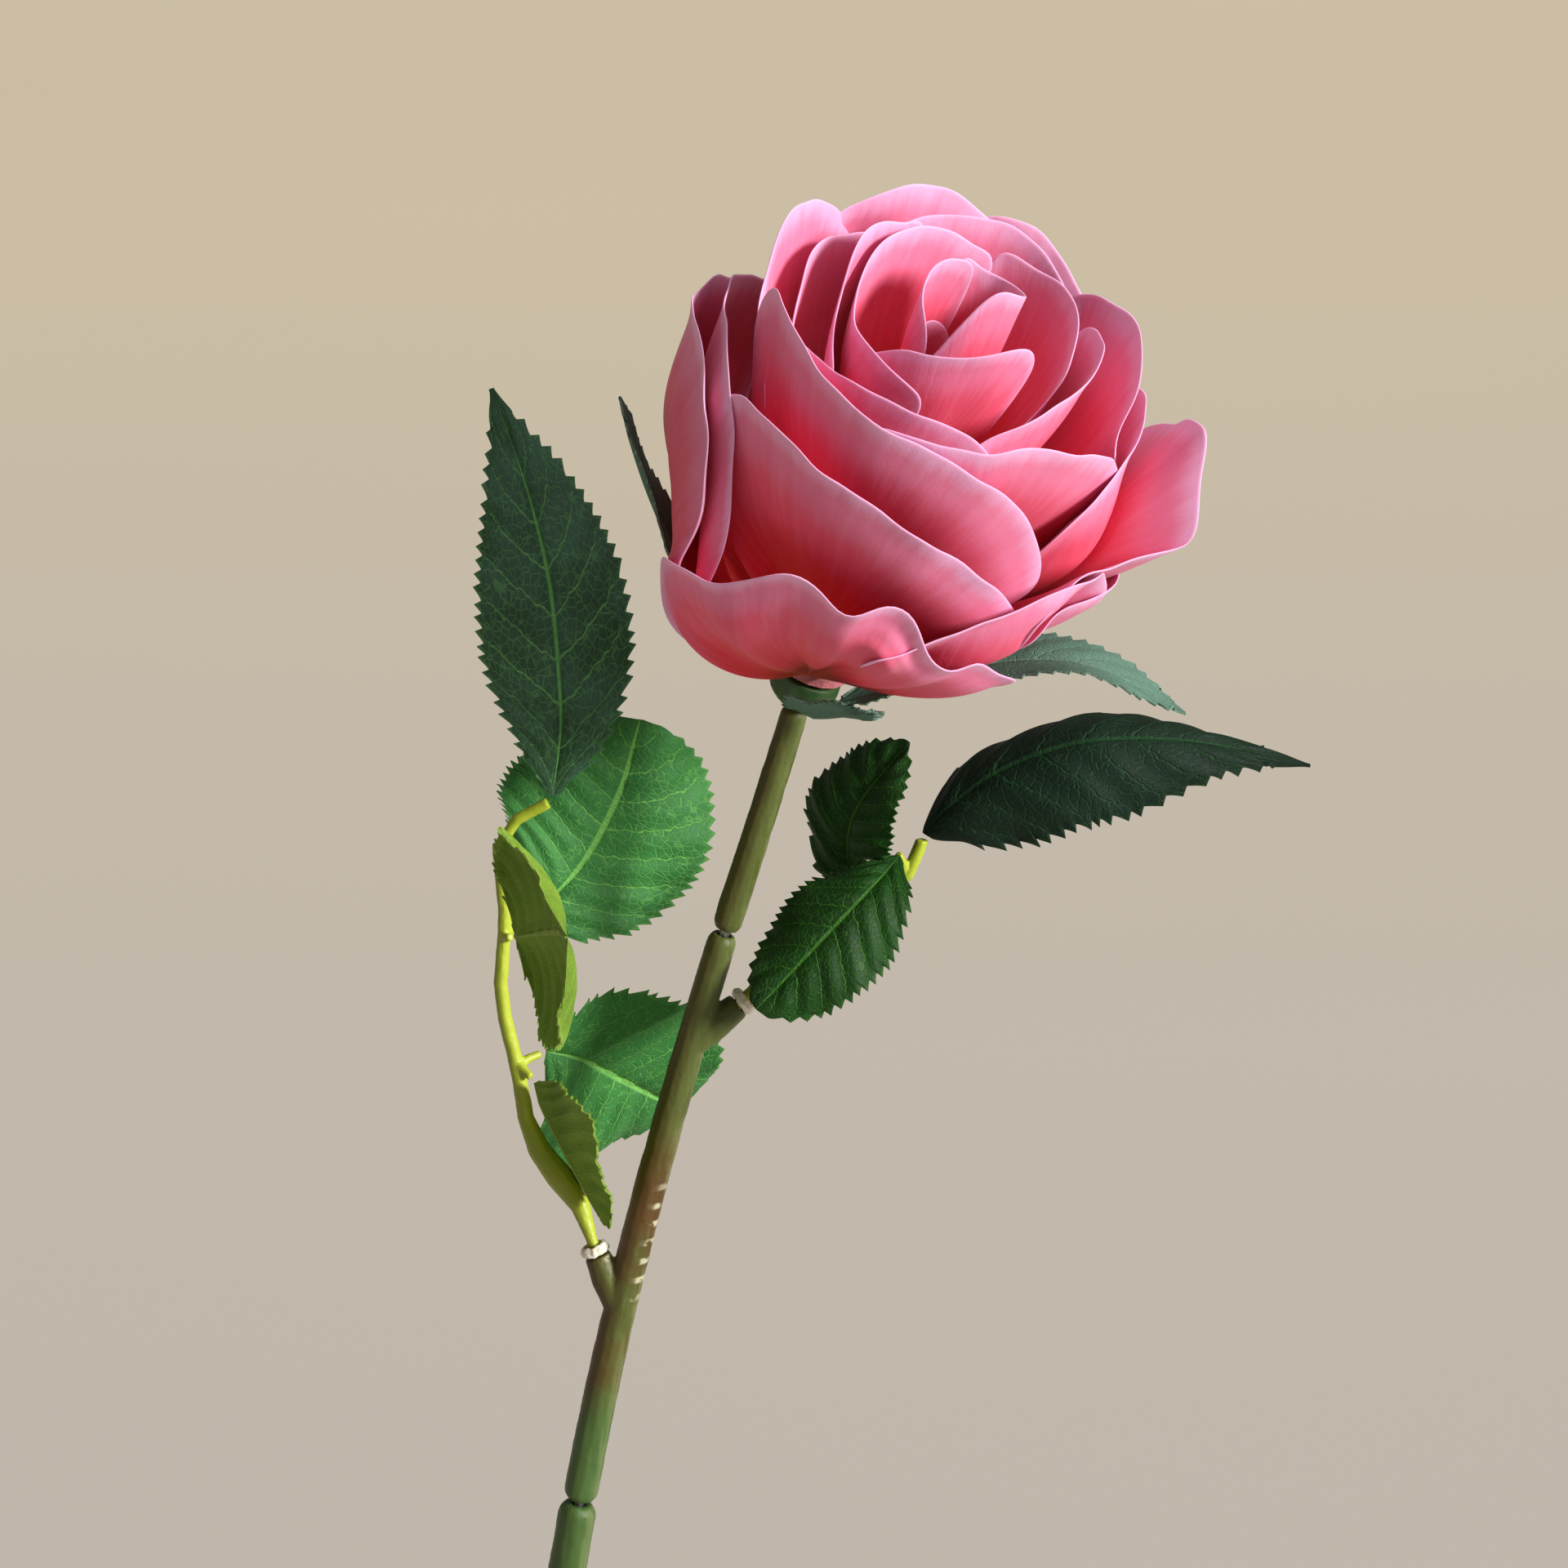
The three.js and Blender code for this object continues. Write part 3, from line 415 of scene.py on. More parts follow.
hot_glue = Finish(
    "hot_glue", Coat_Weight=0.5, Coat_Roughness=0.1, Subsurface_Weight=0.5, Subsurface_Scale=0.001
)
cloudy = hot_glue.noise(hot_glue.place(), 900.0, detail=3.0)
glue_finish = hot_glue.feed(
    Base_Color=hot_glue.mix(cloudy, tint(0.78, 0.76, 0.66), tint(0.95, 0.94, 0.88)),
    Roughness=0.2 + 0.2 * cloudy,
)
for node, name in {"glue_bead_left": "glue_ring_left", "glue_bead_right": "glue_ring_right"}.items():
    bead = recast(node, name, voxel=0.16, passes=3, grain=0.5, grain_size=1.1)
    bead.data.materials.append(glue_finish)
    finish_piece(bead, [node])

# ---- Leaves ------------------------------------------------------------------------------------
# Stamped from dyed and printed cloth and pressed hot, so that the midrib and side veins stand as
# creases and the cloth puffs up between them. The edges are cut in forward-pointing teeth.

PLANT = np.array([1.4, 0.0, 0.0])  # the plant stands this far right of the vase's middle


def smooth_line(points, count):
    """Places spaced evenly along a smooth line through the points."""
    given = np.array(points, float)
    ends = np.vstack([2 * given[0] - given[1], given, 2 * given[-1] - given[-2]])
    run = np.linspace(0, len(given) - 1, 40 * (len(given) - 1) + 1)
    first = np.minimum(run.astype(int), len(given) - 2)
    part = (run - first)[:, None]
    p0, p1, p2, p3 = (ends[first + i] for i in range(4))
    line = 0.5 * (
        2 * p1
        + (p2 - p0) * part
        + (2 * p0 - 5 * p1 + 4 * p2 - p3) * part**2
        + (3 * p1 - p0 - 3 * p2 + p3) * part**3
    )
    gone = np.r_[0, np.cumsum(np.linalg.norm(np.diff(line, axis=0), axis=1))]
    even = np.linspace(0, gone[-1], count)
    return np.stack([np.interp(even, gone, line[:, i]) for i in range(3)], axis=1)


def unit(vectors):
    return vectors / np.maximum(np.linalg.norm(vectors, axis=-1, keepdims=True), 1e-9)


def sheet_from_grid(name, places):
    """A grid, laid over the given rows of places, in millimetres. Its own map runs 0 to 1."""
    rows, columns = places.shape[:2]
    clear_selection()
    bpy.ops.mesh.primitive_grid_add(x_subdivisions=columns - 1, y_subdivisions=rows - 1, size=1)
    piece = bpy.context.object
    piece.name = name
    piece.data.vertices.foreach_set("co", (places.reshape(-1, 3) * MM).ravel())
    piece.data.update()
    return piece


VEIN_SLOPE = 0.20  # how far towards the tip a side vein runs on its way to the edge


def leaf(name, rib, half, up, fold, cup, widest, point, veins, teeth, tooth=0.06, wave=0.6, seed=0,
         thick=0.36, turn=(0, 0), puff=0.55, base=0.75, left=1.0):
    """Lays a leaf along its rib. turn is how far its blade twists at the base and the tip."""
    across, along = 28, 150
    line = smooth_line(rib, along + 1)
    share = np.linspace(0, 1, along + 1)
    heading = unit(np.gradient(line, axis=0))
    side = unit(np.cross(heading, np.array(up, float)))
    out = np.cross(side, heading)
    angle = np.radians(np.interp(share, [0, 1], turn))[:, None]
    side, out = side * np.cos(angle) + out * np.sin(angle), out * np.cos(angle) - side * np.sin(angle)
    reach = np.linspace(-1, 1, across + 1)
    reach = np.sign(reach) * np.abs(reach) ** 0.9
    rising = np.sin(np.pi / 2 * np.clip(share / widest, 0, 1)) ** base
    falling = np.cos(np.pi / 2 * np.clip((share - widest) / (1 - widest), 0, 1)) ** (1 / point)
    width = half * (0.03 + 0.97 * np.where(share < widest, rising, falling))
    chance = np.random.default_rng(seed)
    jitter = 1 + 0.5 * (chance.random(teeth + 2) - 0.5)
    cuts = np.cumsum(jitter)
    cuts = (cuts - cuts[0]) / (cuts[-1] - cuts[0]) * 0.95 + 0.05
    in_tooth = np.clip(np.searchsorted(cuts, share) - 1, 0, teeth)
    saw = (share - cuts[in_tooth]) / (cuts[in_tooth + 1] - cuts[in_tooth])
    saw = np.where(share < cuts[0], 0, np.clip(saw, 0, 1) ** 1.25)
    near_edge = np.clip((np.abs(reach) - 0.80) / 0.20, 0, 1) ** 1.3
    spread = np.abs(reach)[None, :] * width[:, None] * np.where(reach < 0, left, 1.0)[None, :]
    toothed = (width > 0.15 * half)[:, None]
    spread = spread + half * tooth * (saw[:, None] - 0.45) * near_edge[None, :] * toothed
    bend = np.radians(fold - cup * np.abs(reach))[None, :] + 0 * spread
    left_right = np.sign(reach)[None, :]
    places = (
        line[:, None, :]
        + side[:, None, :] * (np.cos(bend) * spread * left_right)[:, :, None]
        + out[:, None, :] * (np.sin(bend) * spread)[:, :, None]
    )
    phase = (share[:, None] - VEIN_SLOPE * np.abs(reach)[None, :]) * veins
    off_rib = np.clip(np.abs(reach) * (1.15 - np.abs(reach)) * 3.4, 0, 1)
    pillow = (0.5 - 0.5 * np.cos(2 * np.pi * phase)) * off_rib
    groove = -np.exp(-((reach[None, :] * width[:, None]) / 0.8) ** 2)
    waves = np.sin(2 * np.pi * (share[:, None] * 2.3 + 0.37 * seed + 0.2 * left_right))
    swell = wave * waves * reach[None, :] ** 2
    lift = puff * pillow + 0.5 * groove + swell
    lift = lift * np.clip(share * 8, 0, 1)[:, None] * np.clip((1 - share) * 8, 0.1, 1)[:, None]
    places = places + out[:, None, :] * lift[:, :, None]
    blade = sheet_from_grid(name, places + PLANT)
    use_modifier(blade, "SOLIDIFY", thickness=thick * MM, offset=-1.0, use_even_offset=False,
                 material_offset=1, material_offset_rim=0)
    return blade


def leaf_finish(name, veins, dark, light, vein_colour, vein_strength, rough, back=False):
    """Dyed cloth with a printed net of veins: a midrib, side veins and a fine mesh between."""
    cloth = Finish(name, Specular_IOR_Level=0.22)
    flat = cloth.place(uv=True)
    across = cloth.maths("ABSOLUTE", cloth.split(flat, "X") * 2.0 - 1.0)
    along = cloth.split(flat, "Y")
    at = cloth.place()
    wander = cloth.noise(cloth.place(scale=(14, 14, 14), uv=True), 1.0, detail=2.0) - 0.5
    phase = (along - VEIN_SLOPE * across) * float(veins) + 0.35 * wander
    from_vein = cloth.maths("ABSOLUTE", cloth.maths("FRACT", phase + 0.5) - 0.5)
    side_vein = cloth.step(from_vein * (1.0 + 0.6 * across), 0.055, 0.01)
    side_vein = side_vein * cloth.step(across, 1.0, 0.75, 0.25, 1.0)
    midrib = cloth.step(across, 0.034, 0.012)
    cell = cloth.node(
        "ShaderNodeTexVoronoi",
        {"feature": "DISTANCE_TO_EDGE"},
        {"Vector": cloth.place(scale=(22, 40, 1), uv=True), "Scale": 1.0},
    )
    mesh = cloth.step(cell, 0.10, 0.02)
    weave = cloth.noise(at, 2600.0, detail=2.0)
    patches = cloth.noise(at, 60.0, detail=4.0)
    body = cloth.mix(cloth.step(patches, 0.35, 0.66), dark, light)
    body = cloth.mix(weave * 0.14, body, vein_colour)
    main = cloth.maths("MAXIMUM", side_vein * 0.75, midrib)
    veined = cloth.maths("MAXIMUM", main, mesh * 0.28) * vein_strength
    skin = cloth.mix(veined, body, vein_colour)
    edge = cloth.step(across, 0.93, 1.0) * 0.25
    skin = cloth.mix(edge, skin, vein_colour)
    relief = main * (-1.0 if not back else 1.2) + 0.35 * mesh * -1.0 + 0.35 * weave
    return cloth.feed(
        Base_Color=skin,
        Roughness=rough + 0.18 * weave,
        Normal=cloth.bump(relief, 0.0004, 0.6),
    )


blue_top = leaf_finish("blue_green_top", 9, tint(0.12, 0.22, 0.17), tint(0.22, 0.345, 0.31),
                       tint(0.44, 0.70, 0.40), 0.8, 0.5)
blue_under = leaf_finish("blue_green_under", 9, tint(0.15, 0.25, 0.16), tint(0.22, 0.33, 0.20),
                         tint(0.42, 0.55, 0.32), 0.6, 0.6, back=True)
# The next two are darker copies of the same leaf cloth, given to the three leaves on the right: painted
# shade.
painted_shade_dark_top = leaf_finish("painted_shade_dark_top", 9, tint(0.01, 0.08, 0.045), tint(0.03, 0.12, 0.075),
                       tint(0.09, 0.27, 0.12), 0.7, 0.55)
bright_top = leaf_finish("bright_green_top", 8, tint(0.12, 0.37, 0.17), tint(0.19, 0.47, 0.23),
                         tint(0.48, 0.74, 0.36), 0.8, 0.48)
olive_under = leaf_finish("olive_under", 8, tint(0.36, 0.49, 0.10), tint(0.46, 0.60, 0.17),
                          tint(0.60, 0.70, 0.34), 0.55, 0.6, back=True)
painted_shade_deep_top = leaf_finish("painted_shade_deep_green_top", 8, tint(0.003, 0.13, 0.006), tint(0.012, 0.20, 0.012),
                       tint(0.24, 0.46, 0.13), 0.8, 0.45)

LEAVES = {
    "left_leaf_1": dict(
        rib=[[4, 4, 290.8], [5.4, 3.4, 302], [5, 4, 314], [3.6, 5, 327], [0.2, 7, 341], [-5.2, 10, 356]],
        half=12.2, up=[0.1, -1, 0.1], fold=12, cup=14, widest=0.42, point=0.85, veins=9, teeth=24,
        tooth=0.12, wave=1.1, seed=1, base=0.8, look=(blue_top, blue_under, "dark_leaf")),
    "left_leaf_2": dict(
        rib=[[-0.2, 5.8, 270.8], [4.4, 8.4, 273.6], [9.6, 10.8, 279.6], [14.8, 12.5, 290], [17.8, 13, 301.2]],
        half=18.0, up=[0.2, -1, 0.15], fold=4, cup=12, widest=0.5, point=2.0, veins=8, teeth=24,
        tooth=0.08, wave=1.2, seed=2, look=(bright_top, olive_under, "green_leaf")),
    "left_leaf_3": dict(
        rib=[[-2, -0.8, 268.9], [1.8, -6, 271], [6, -15, 274], [7.4, -26, 276.4]],
        half=18.5, up=[0.93, 0.28, 0.17], fold=10, cup=26, widest=0.5, point=1.7, veins=8, teeth=22,
        tooth=0.08, wave=0.7, seed=3, look=(olive_under, bright_top, "green_leaf")),
    "left_leaf_4": dict(
        rib=[[2.4, 6.4, 247.2], [7.8, 8.6, 245], [13.6, 12, 240.8], [19, 15.4, 236.6], [23.4, 19, 233]],
        half=19.6, up=[-0.4, -1, 0.15], fold=8, cup=6, widest=0.5, point=2.0, veins=7, teeth=24,
        tooth=0.08, wave=1.3, seed=4, look=(bright_top, olive_under, "green_leaf")),
    "left_leaf_5": dict(
        rib=[[0.8, 1, 243.6], [3.2, -2.6, 239], [7.6, -8.4, 232.4], [13.2, -14, 224.2]],
        half=12.3, up=[0.93, 0.5, 0.42], fold=22, cup=10, widest=0.4, point=1.2, veins=8, teeth=20,
        tooth=0.08, wave=0.7, seed=5, look=(olive_under, bright_top, "green_leaf")),
    "right_leaf_1": dict(
        rib=[[63.2, 2.8, 285.2], [67.5, 1, 290.4], [76, 0, 296.8], [88, -1, 301.4], [102, -0.5, 301.8],
             [114, 1.5, 299.6], [125.4, 6, 295.6]],
        half=14.2, up=[0, -0.6, 0.8], fold=-8, cup=30, widest=0.36, point=0.68, veins=8, teeth=20,
        tooth=0.12, wave=0.9, seed=6, base=0.55, look=(painted_shade_dark_top, blue_under, "dark_leaf")),
    "right_leaf_2": dict(
        rib=[[52.4, 3.2, 277.8], [50.8, 3.4, 282], [52.6, 2.4, 289.8], [60.6, 2, 300.6]],
        half=9.6, up=[-0.6, -0.65, 0.5], fold=10, cup=14, widest=0.34, point=1.3, veins=7, teeth=16,
        tooth=0.12, wave=0.6, seed=7, left=1.15, look=(painted_shade_deep_top, olive_under, "green_leaf")),
    "right_leaf_3": dict(
        rib=[[59.4, -1.4, 282.6], [55, -8, 279.4], [47.2, -12, 272], [36.6, -14.5, 261]],
        half=10.6, up=[-0.1, -0.8, 0.6], fold=-6, cup=16, widest=0.55, point=1.9, veins=8, teeth=18,
        tooth=0.13, wave=0.9, seed=8, look=(painted_shade_deep_top, olive_under, "green_leaf")),
}
for node, shape in LEAVES.items():
    top, under, slot = shape.pop("look")
    blade = leaf("pressed_" + node, **shape)
    blade.data.materials.append(top)
    blade.data.materials.append(under)
    finish_piece(blade, [node], auto_smooth=50)

# ---- Petals ------------------------------------------------------------------------------------
# Thin skins of soft moulded plastic, laid round a foam core from the middle outwards. Each one is
# deep red at its claw, pink over the blade, and pale lilac where the edge thins and rolls. On the inner
# face, the darker red over the lower part is partly its own colour and partly painted shade of the deep bowl.

HEAD_BASE = np.array([44.0, -7.5, 312.0]) + PLANT
HEAD_NOD = 18
HEAD_LEAN = 21
head_turn = np.array(
    Matrix.Rotation(math.radians(HEAD_LEAN), 3, "Y") @ Matrix.Rotation(math.radians(HEAD_NOD), 3, "X")
)
FILM = 0.34  # a petal's thickness with the air behind it


class Packing:
    """The outermost radius filled so far, by angle and height, in the head's own frame."""

    def __init__(self):
        self.radius = np.zeros((360, 400))

    def cells(self, angle, height):
        return angle % 360, np.clip((height + 8) * 4, 0, 398)

    def at(self, angle, height):
        turn, rise = self.cells(angle, height)
        column, row = np.floor(turn).astype(int), np.floor(rise).astype(int)
        x, y = turn - column, rise - row
        column, after = column % 360, (column + 1) % 360
        cells = ((column, row), (after, row), (column, row + 1), (after, row + 1))
        corners = [self.radius[c, r] for c, r in cells]
        below = corners[0] * (1 - x) + corners[1] * x
        above = corners[2] * (1 - x) + corners[3] * x
        between = below * (1 - y) + above * y
        return np.where(np.min(corners, axis=0) > 0, between, np.max(corners, axis=0))

    def cover(self, angle, height, radius):
        turn, rise = self.cells(angle, height)
        cell = (np.rint(turn).astype(int) % 360, np.rint(rise).astype(int))
        np.maximum.at(self.radius, cell, radius)


packing = Packing()


def through(values, place):
    """A smooth value through the given ones, which stand at even steps from -1 to 1."""
    if len(values) == 3:
        left, middle, right = values
        return middle + (right - left) / 2 * place + ((right + left) / 2 - middle) * place**2
    line = smooth_line([[i, v, 0] for i, v in enumerate(values)], 200)
    return np.interp((place + 1) / 2 * (len(values) - 1), line[:, 0], line[:, 1])


def blur(grid, times):
    for _ in range(times):
        wide = np.pad(grid, 1, mode="edge")
        grid = (4 * grid + wide[:-2, 1:-1] + wide[2:, 1:-1] + wide[1:-1, :-2] + wide[1:-1, 2:]) / 8
    return grid


def widen(grid, times):
    for _ in range(times):
        wide = np.pad(grid, 1, mode="edge")
        grid = np.max([grid, wide[:-2, 1:-1], wide[2:, 1:-1], wide[1:-1, :-2], wide[1:-1, 2:]], axis=0)
    return grid


def denser(grid, times):
    rows, columns = grid.shape
    r = np.linspace(0, rows - 1, (rows - 1) * times + 1)
    c = np.linspace(0, columns - 1, (columns - 1) * times + 1)
    tall = np.array([np.interp(r, np.arange(rows), grid[:, j]) for j in range(columns)]).T
    return np.array([np.interp(c, np.arange(columns), row) for row in tall])


def outward(angle, height, radius):
    """The places of a grid in the head's own frame, and how far its normals lean outwards."""
    turn = np.radians(angle)
    places = np.stack([radius * np.sin(turn), -radius * np.cos(turn), height], axis=-1)
    normal = unit(np.cross(np.gradient(places, axis=1), np.gradient(places, axis=0)))
    lean = normal[..., 0] * np.sin(turn) - normal[..., 1] * np.cos(turn)
    return places, np.clip(np.abs(lean), 0.35, 1)


def plain_rim(at, half, top, rim, flare=(0.8, 1.2, 0.8)):
    """A rounded rim for a petal that the others mostly hide."""
    stations = []
    for a in (-0.95, -0.8, -0.45, 0.0, 0.45, 0.8, 0.95):
        rise = through(top, a) - 9 * abs(a) ** 6
        stations.append((at + half * a, rise, through(rim, a) + 0.6 * through(flare, a)))
    return stations


def petal(name, claw, rim, full=2.0, bulge=0.4, ruffle=0.35, roll=0.8, seed=0, roll_at=None):
    """Shapes a petal between its claw and its rim, eases it outwards off those inside it, and makes
    its film. The easing is smoothed and limited, so some petals still cross. The rim is a row of
    (angle, height, radius), from left to right."""
    columns, rows = 65, 37
    stations = np.array(rim, float)
    middle = stations[:, 0].mean()
    side = []
    both = full if isinstance(full, tuple) else (full, full)
    for end, fullness in ((0, both[0]), (-1, both[1])):
        angle, height, radius = stations[end]
        side.append([
            (middle + turn * (angle - middle), claw[0] + rise * (height - claw[0]),
             claw[1] + (1 - (1 - rise**1.3) ** fullness) * (radius - claw[1]))
            for turn, rise in ((0.86, 0.5), (0.42, 0.13))
        ])
    outline = np.array([side[0][1], side[0][0], *stations, side[1][0], side[1][1]])
    around = outline * np.array([math.radians(1) * stations[:, 2].mean(), 1, 1])
    fine = smooth_line(around, columns)
    fine[:, 0] /= math.radians(1) * stations[:, 2].mean()
    across = np.linspace(-1, 1, columns)[None, :]
    up = np.linspace(0, 1, rows)[:, None] ** 0.85
    half = (stations[-1, 0] - stations[0, 0]) / 2
    claw_angle = middle + 0.30 * half * across
    angle = claw_angle + (fine[:, 0][None, :] - claw_angle) * up**0.75
    height = claw[0] + (fine[:, 1][None, :] - claw[0]) * up
    fullness = np.interp(across, [-1, 1], both)
    cup = 1 - (1 - up**1.3) ** fullness
    radius = claw[1] + (fine[:, 2][None, :] - claw[1]) * cup + bulge * np.sin(np.pi * up)
    chance = np.random.default_rng(100 + seed)
    phases = chance.random(8) * 2 * np.pi
    length = (fine[:, 0] * math.radians(1) * stations[:, 2].mean())[None, :]
    tremble = (
        np.sin(0.28 * length + phases[0]) + 0.7 * np.sin(0.62 * length + phases[1])
        + 0.45 * np.sin(1.35 * length + phases[2])
    )
    on_rim = np.clip((1 - np.abs(across)) * 5, 0, 1)
    lip = np.clip((up - 0.88) / 0.12, 0, 1)
    curl = roll * (1 + 0.35 * np.sin(0.45 * length + phases[3])) * on_rim
    if roll_at:
        curl = curl + roll_at[2] * np.exp(-(((across - roll_at[0]) / roll_at[1]) ** 2))
    radius = radius + ruffle * tremble * up**6 * on_rim + curl * lip**1.6
    height = height - 0.55 * curl * lip**3
    height = height + 0.5 * ruffle * np.sin(0.9 * length + phases[4]) * up**5 * on_rim
    dents = np.sin(0.5 * length + 5 * up + phases[5]) * np.sin(3 * up + 0.2 * length + phases[6])
    radius = radius + 0.22 * dents * np.sin(np.pi * up)
    for _ in range(8):
        _, lean = outward(angle, height, radius)
        short = packing.at(angle, height) - (radius - FILM / 2 / lean)
        short = np.maximum(short, 0)
        if short.max() < 0.03:
            break
        short[0, :] = short[0, :].max()
        radius = radius + np.maximum(short, blur(widen(short, 1), 3))
    radius = blur(radius, 2)
    places, lean = outward(angle, height, radius)
    packing.cover(denser(angle, 6), denser(height, 6), denser(radius + FILM / 2 / lean, 6))
    placed = places @ head_turn.T + HEAD_BASE
    film = sheet_from_grid(name, placed)
    use_modifier(film, "SOLIDIFY", thickness=0.30 * MM, offset=0.0, use_even_offset=False,
                 material_offset=1, material_offset_rim=0)
    use_modifier(film, "SUBSURF", levels=1, render_levels=1)
    return film


def petal_finish(name, stops, streak_depth):
    """Soft moulded skin. stops are its colours from the claw to the edge."""
    skin = Finish(name, Specular_IOR_Level=0.22, Sheen_Weight=0.05, Sheen_Roughness=0.4,
                  Subsurface_Weight=0.2, Subsurface_Scale=0.0012)
    skin.shader.inputs["Subsurface Radius"].default_value = (1.0, 0.32, 0.30)
    flat = skin.place(uv=True)
    up = skin.split(flat, "Y")
    at = skin.place()
    streaks = skin.noise(skin.place(scale=(70, 3.2, 1), uv=True), 1.0, detail=4.0, rough=0.6)
    patches = skin.noise(at, 90.0, detail=3.0)
    fine = skin.noise(at, 1500.0, detail=2.0)
    shift = up + 0.10 * (patches - 0.5) + 0.07 * (streaks - 0.5)
    colour = stops[0][1]
    for (low, _), (high, next_colour) in zip(stops, stops[1:]):
        colour = skin.mix(skin.step(shift, low, high), colour, next_colour)
    colour = skin.mix(skin.step(streaks, 0.42, 0.72) * streak_depth, colour, tint(0.98, 0.66, 0.76))
    colour = skin.mix(skin.step(streaks, 0.52, 0.26) * streak_depth, colour, tint(0.84, 0.18, 0.30))
    return skin.feed(
        Base_Color=colour,
        Roughness=0.50 + 0.16 * patches,
        Normal=skin.bump(streaks + 0.25 * fine, 0.0004, 0.22),
    )


petal_back = petal_finish(
    "petal_outer_face",
    [(0.0, tint(0.90, 0.34, 0.22)), (0.34, tint(0.88, 0.22, 0.28)), (0.66, tint(0.90, 0.35, 0.46)),
     (0.88, tint(0.91, 0.50, 0.64)), (0.99, tint(0.93, 0.68, 0.83))],
    0.09,
)
# The dark deep red over the lower part of the inner face is partly the petal's own colour and partly painted
# shade of the deep bowl.
petal_front = petal_finish(
    "petal_inner_face",
    [(0.0, tint(0.72, 0.01, 0.02)), (0.60, tint(0.80, 0.04, 0.09)), (0.80, tint(0.88, 0.25, 0.35)),
     (0.92, tint(0.90, 0.46, 0.60)), (0.99, tint(0.92, 0.67, 0.81))],
    0.08,
)

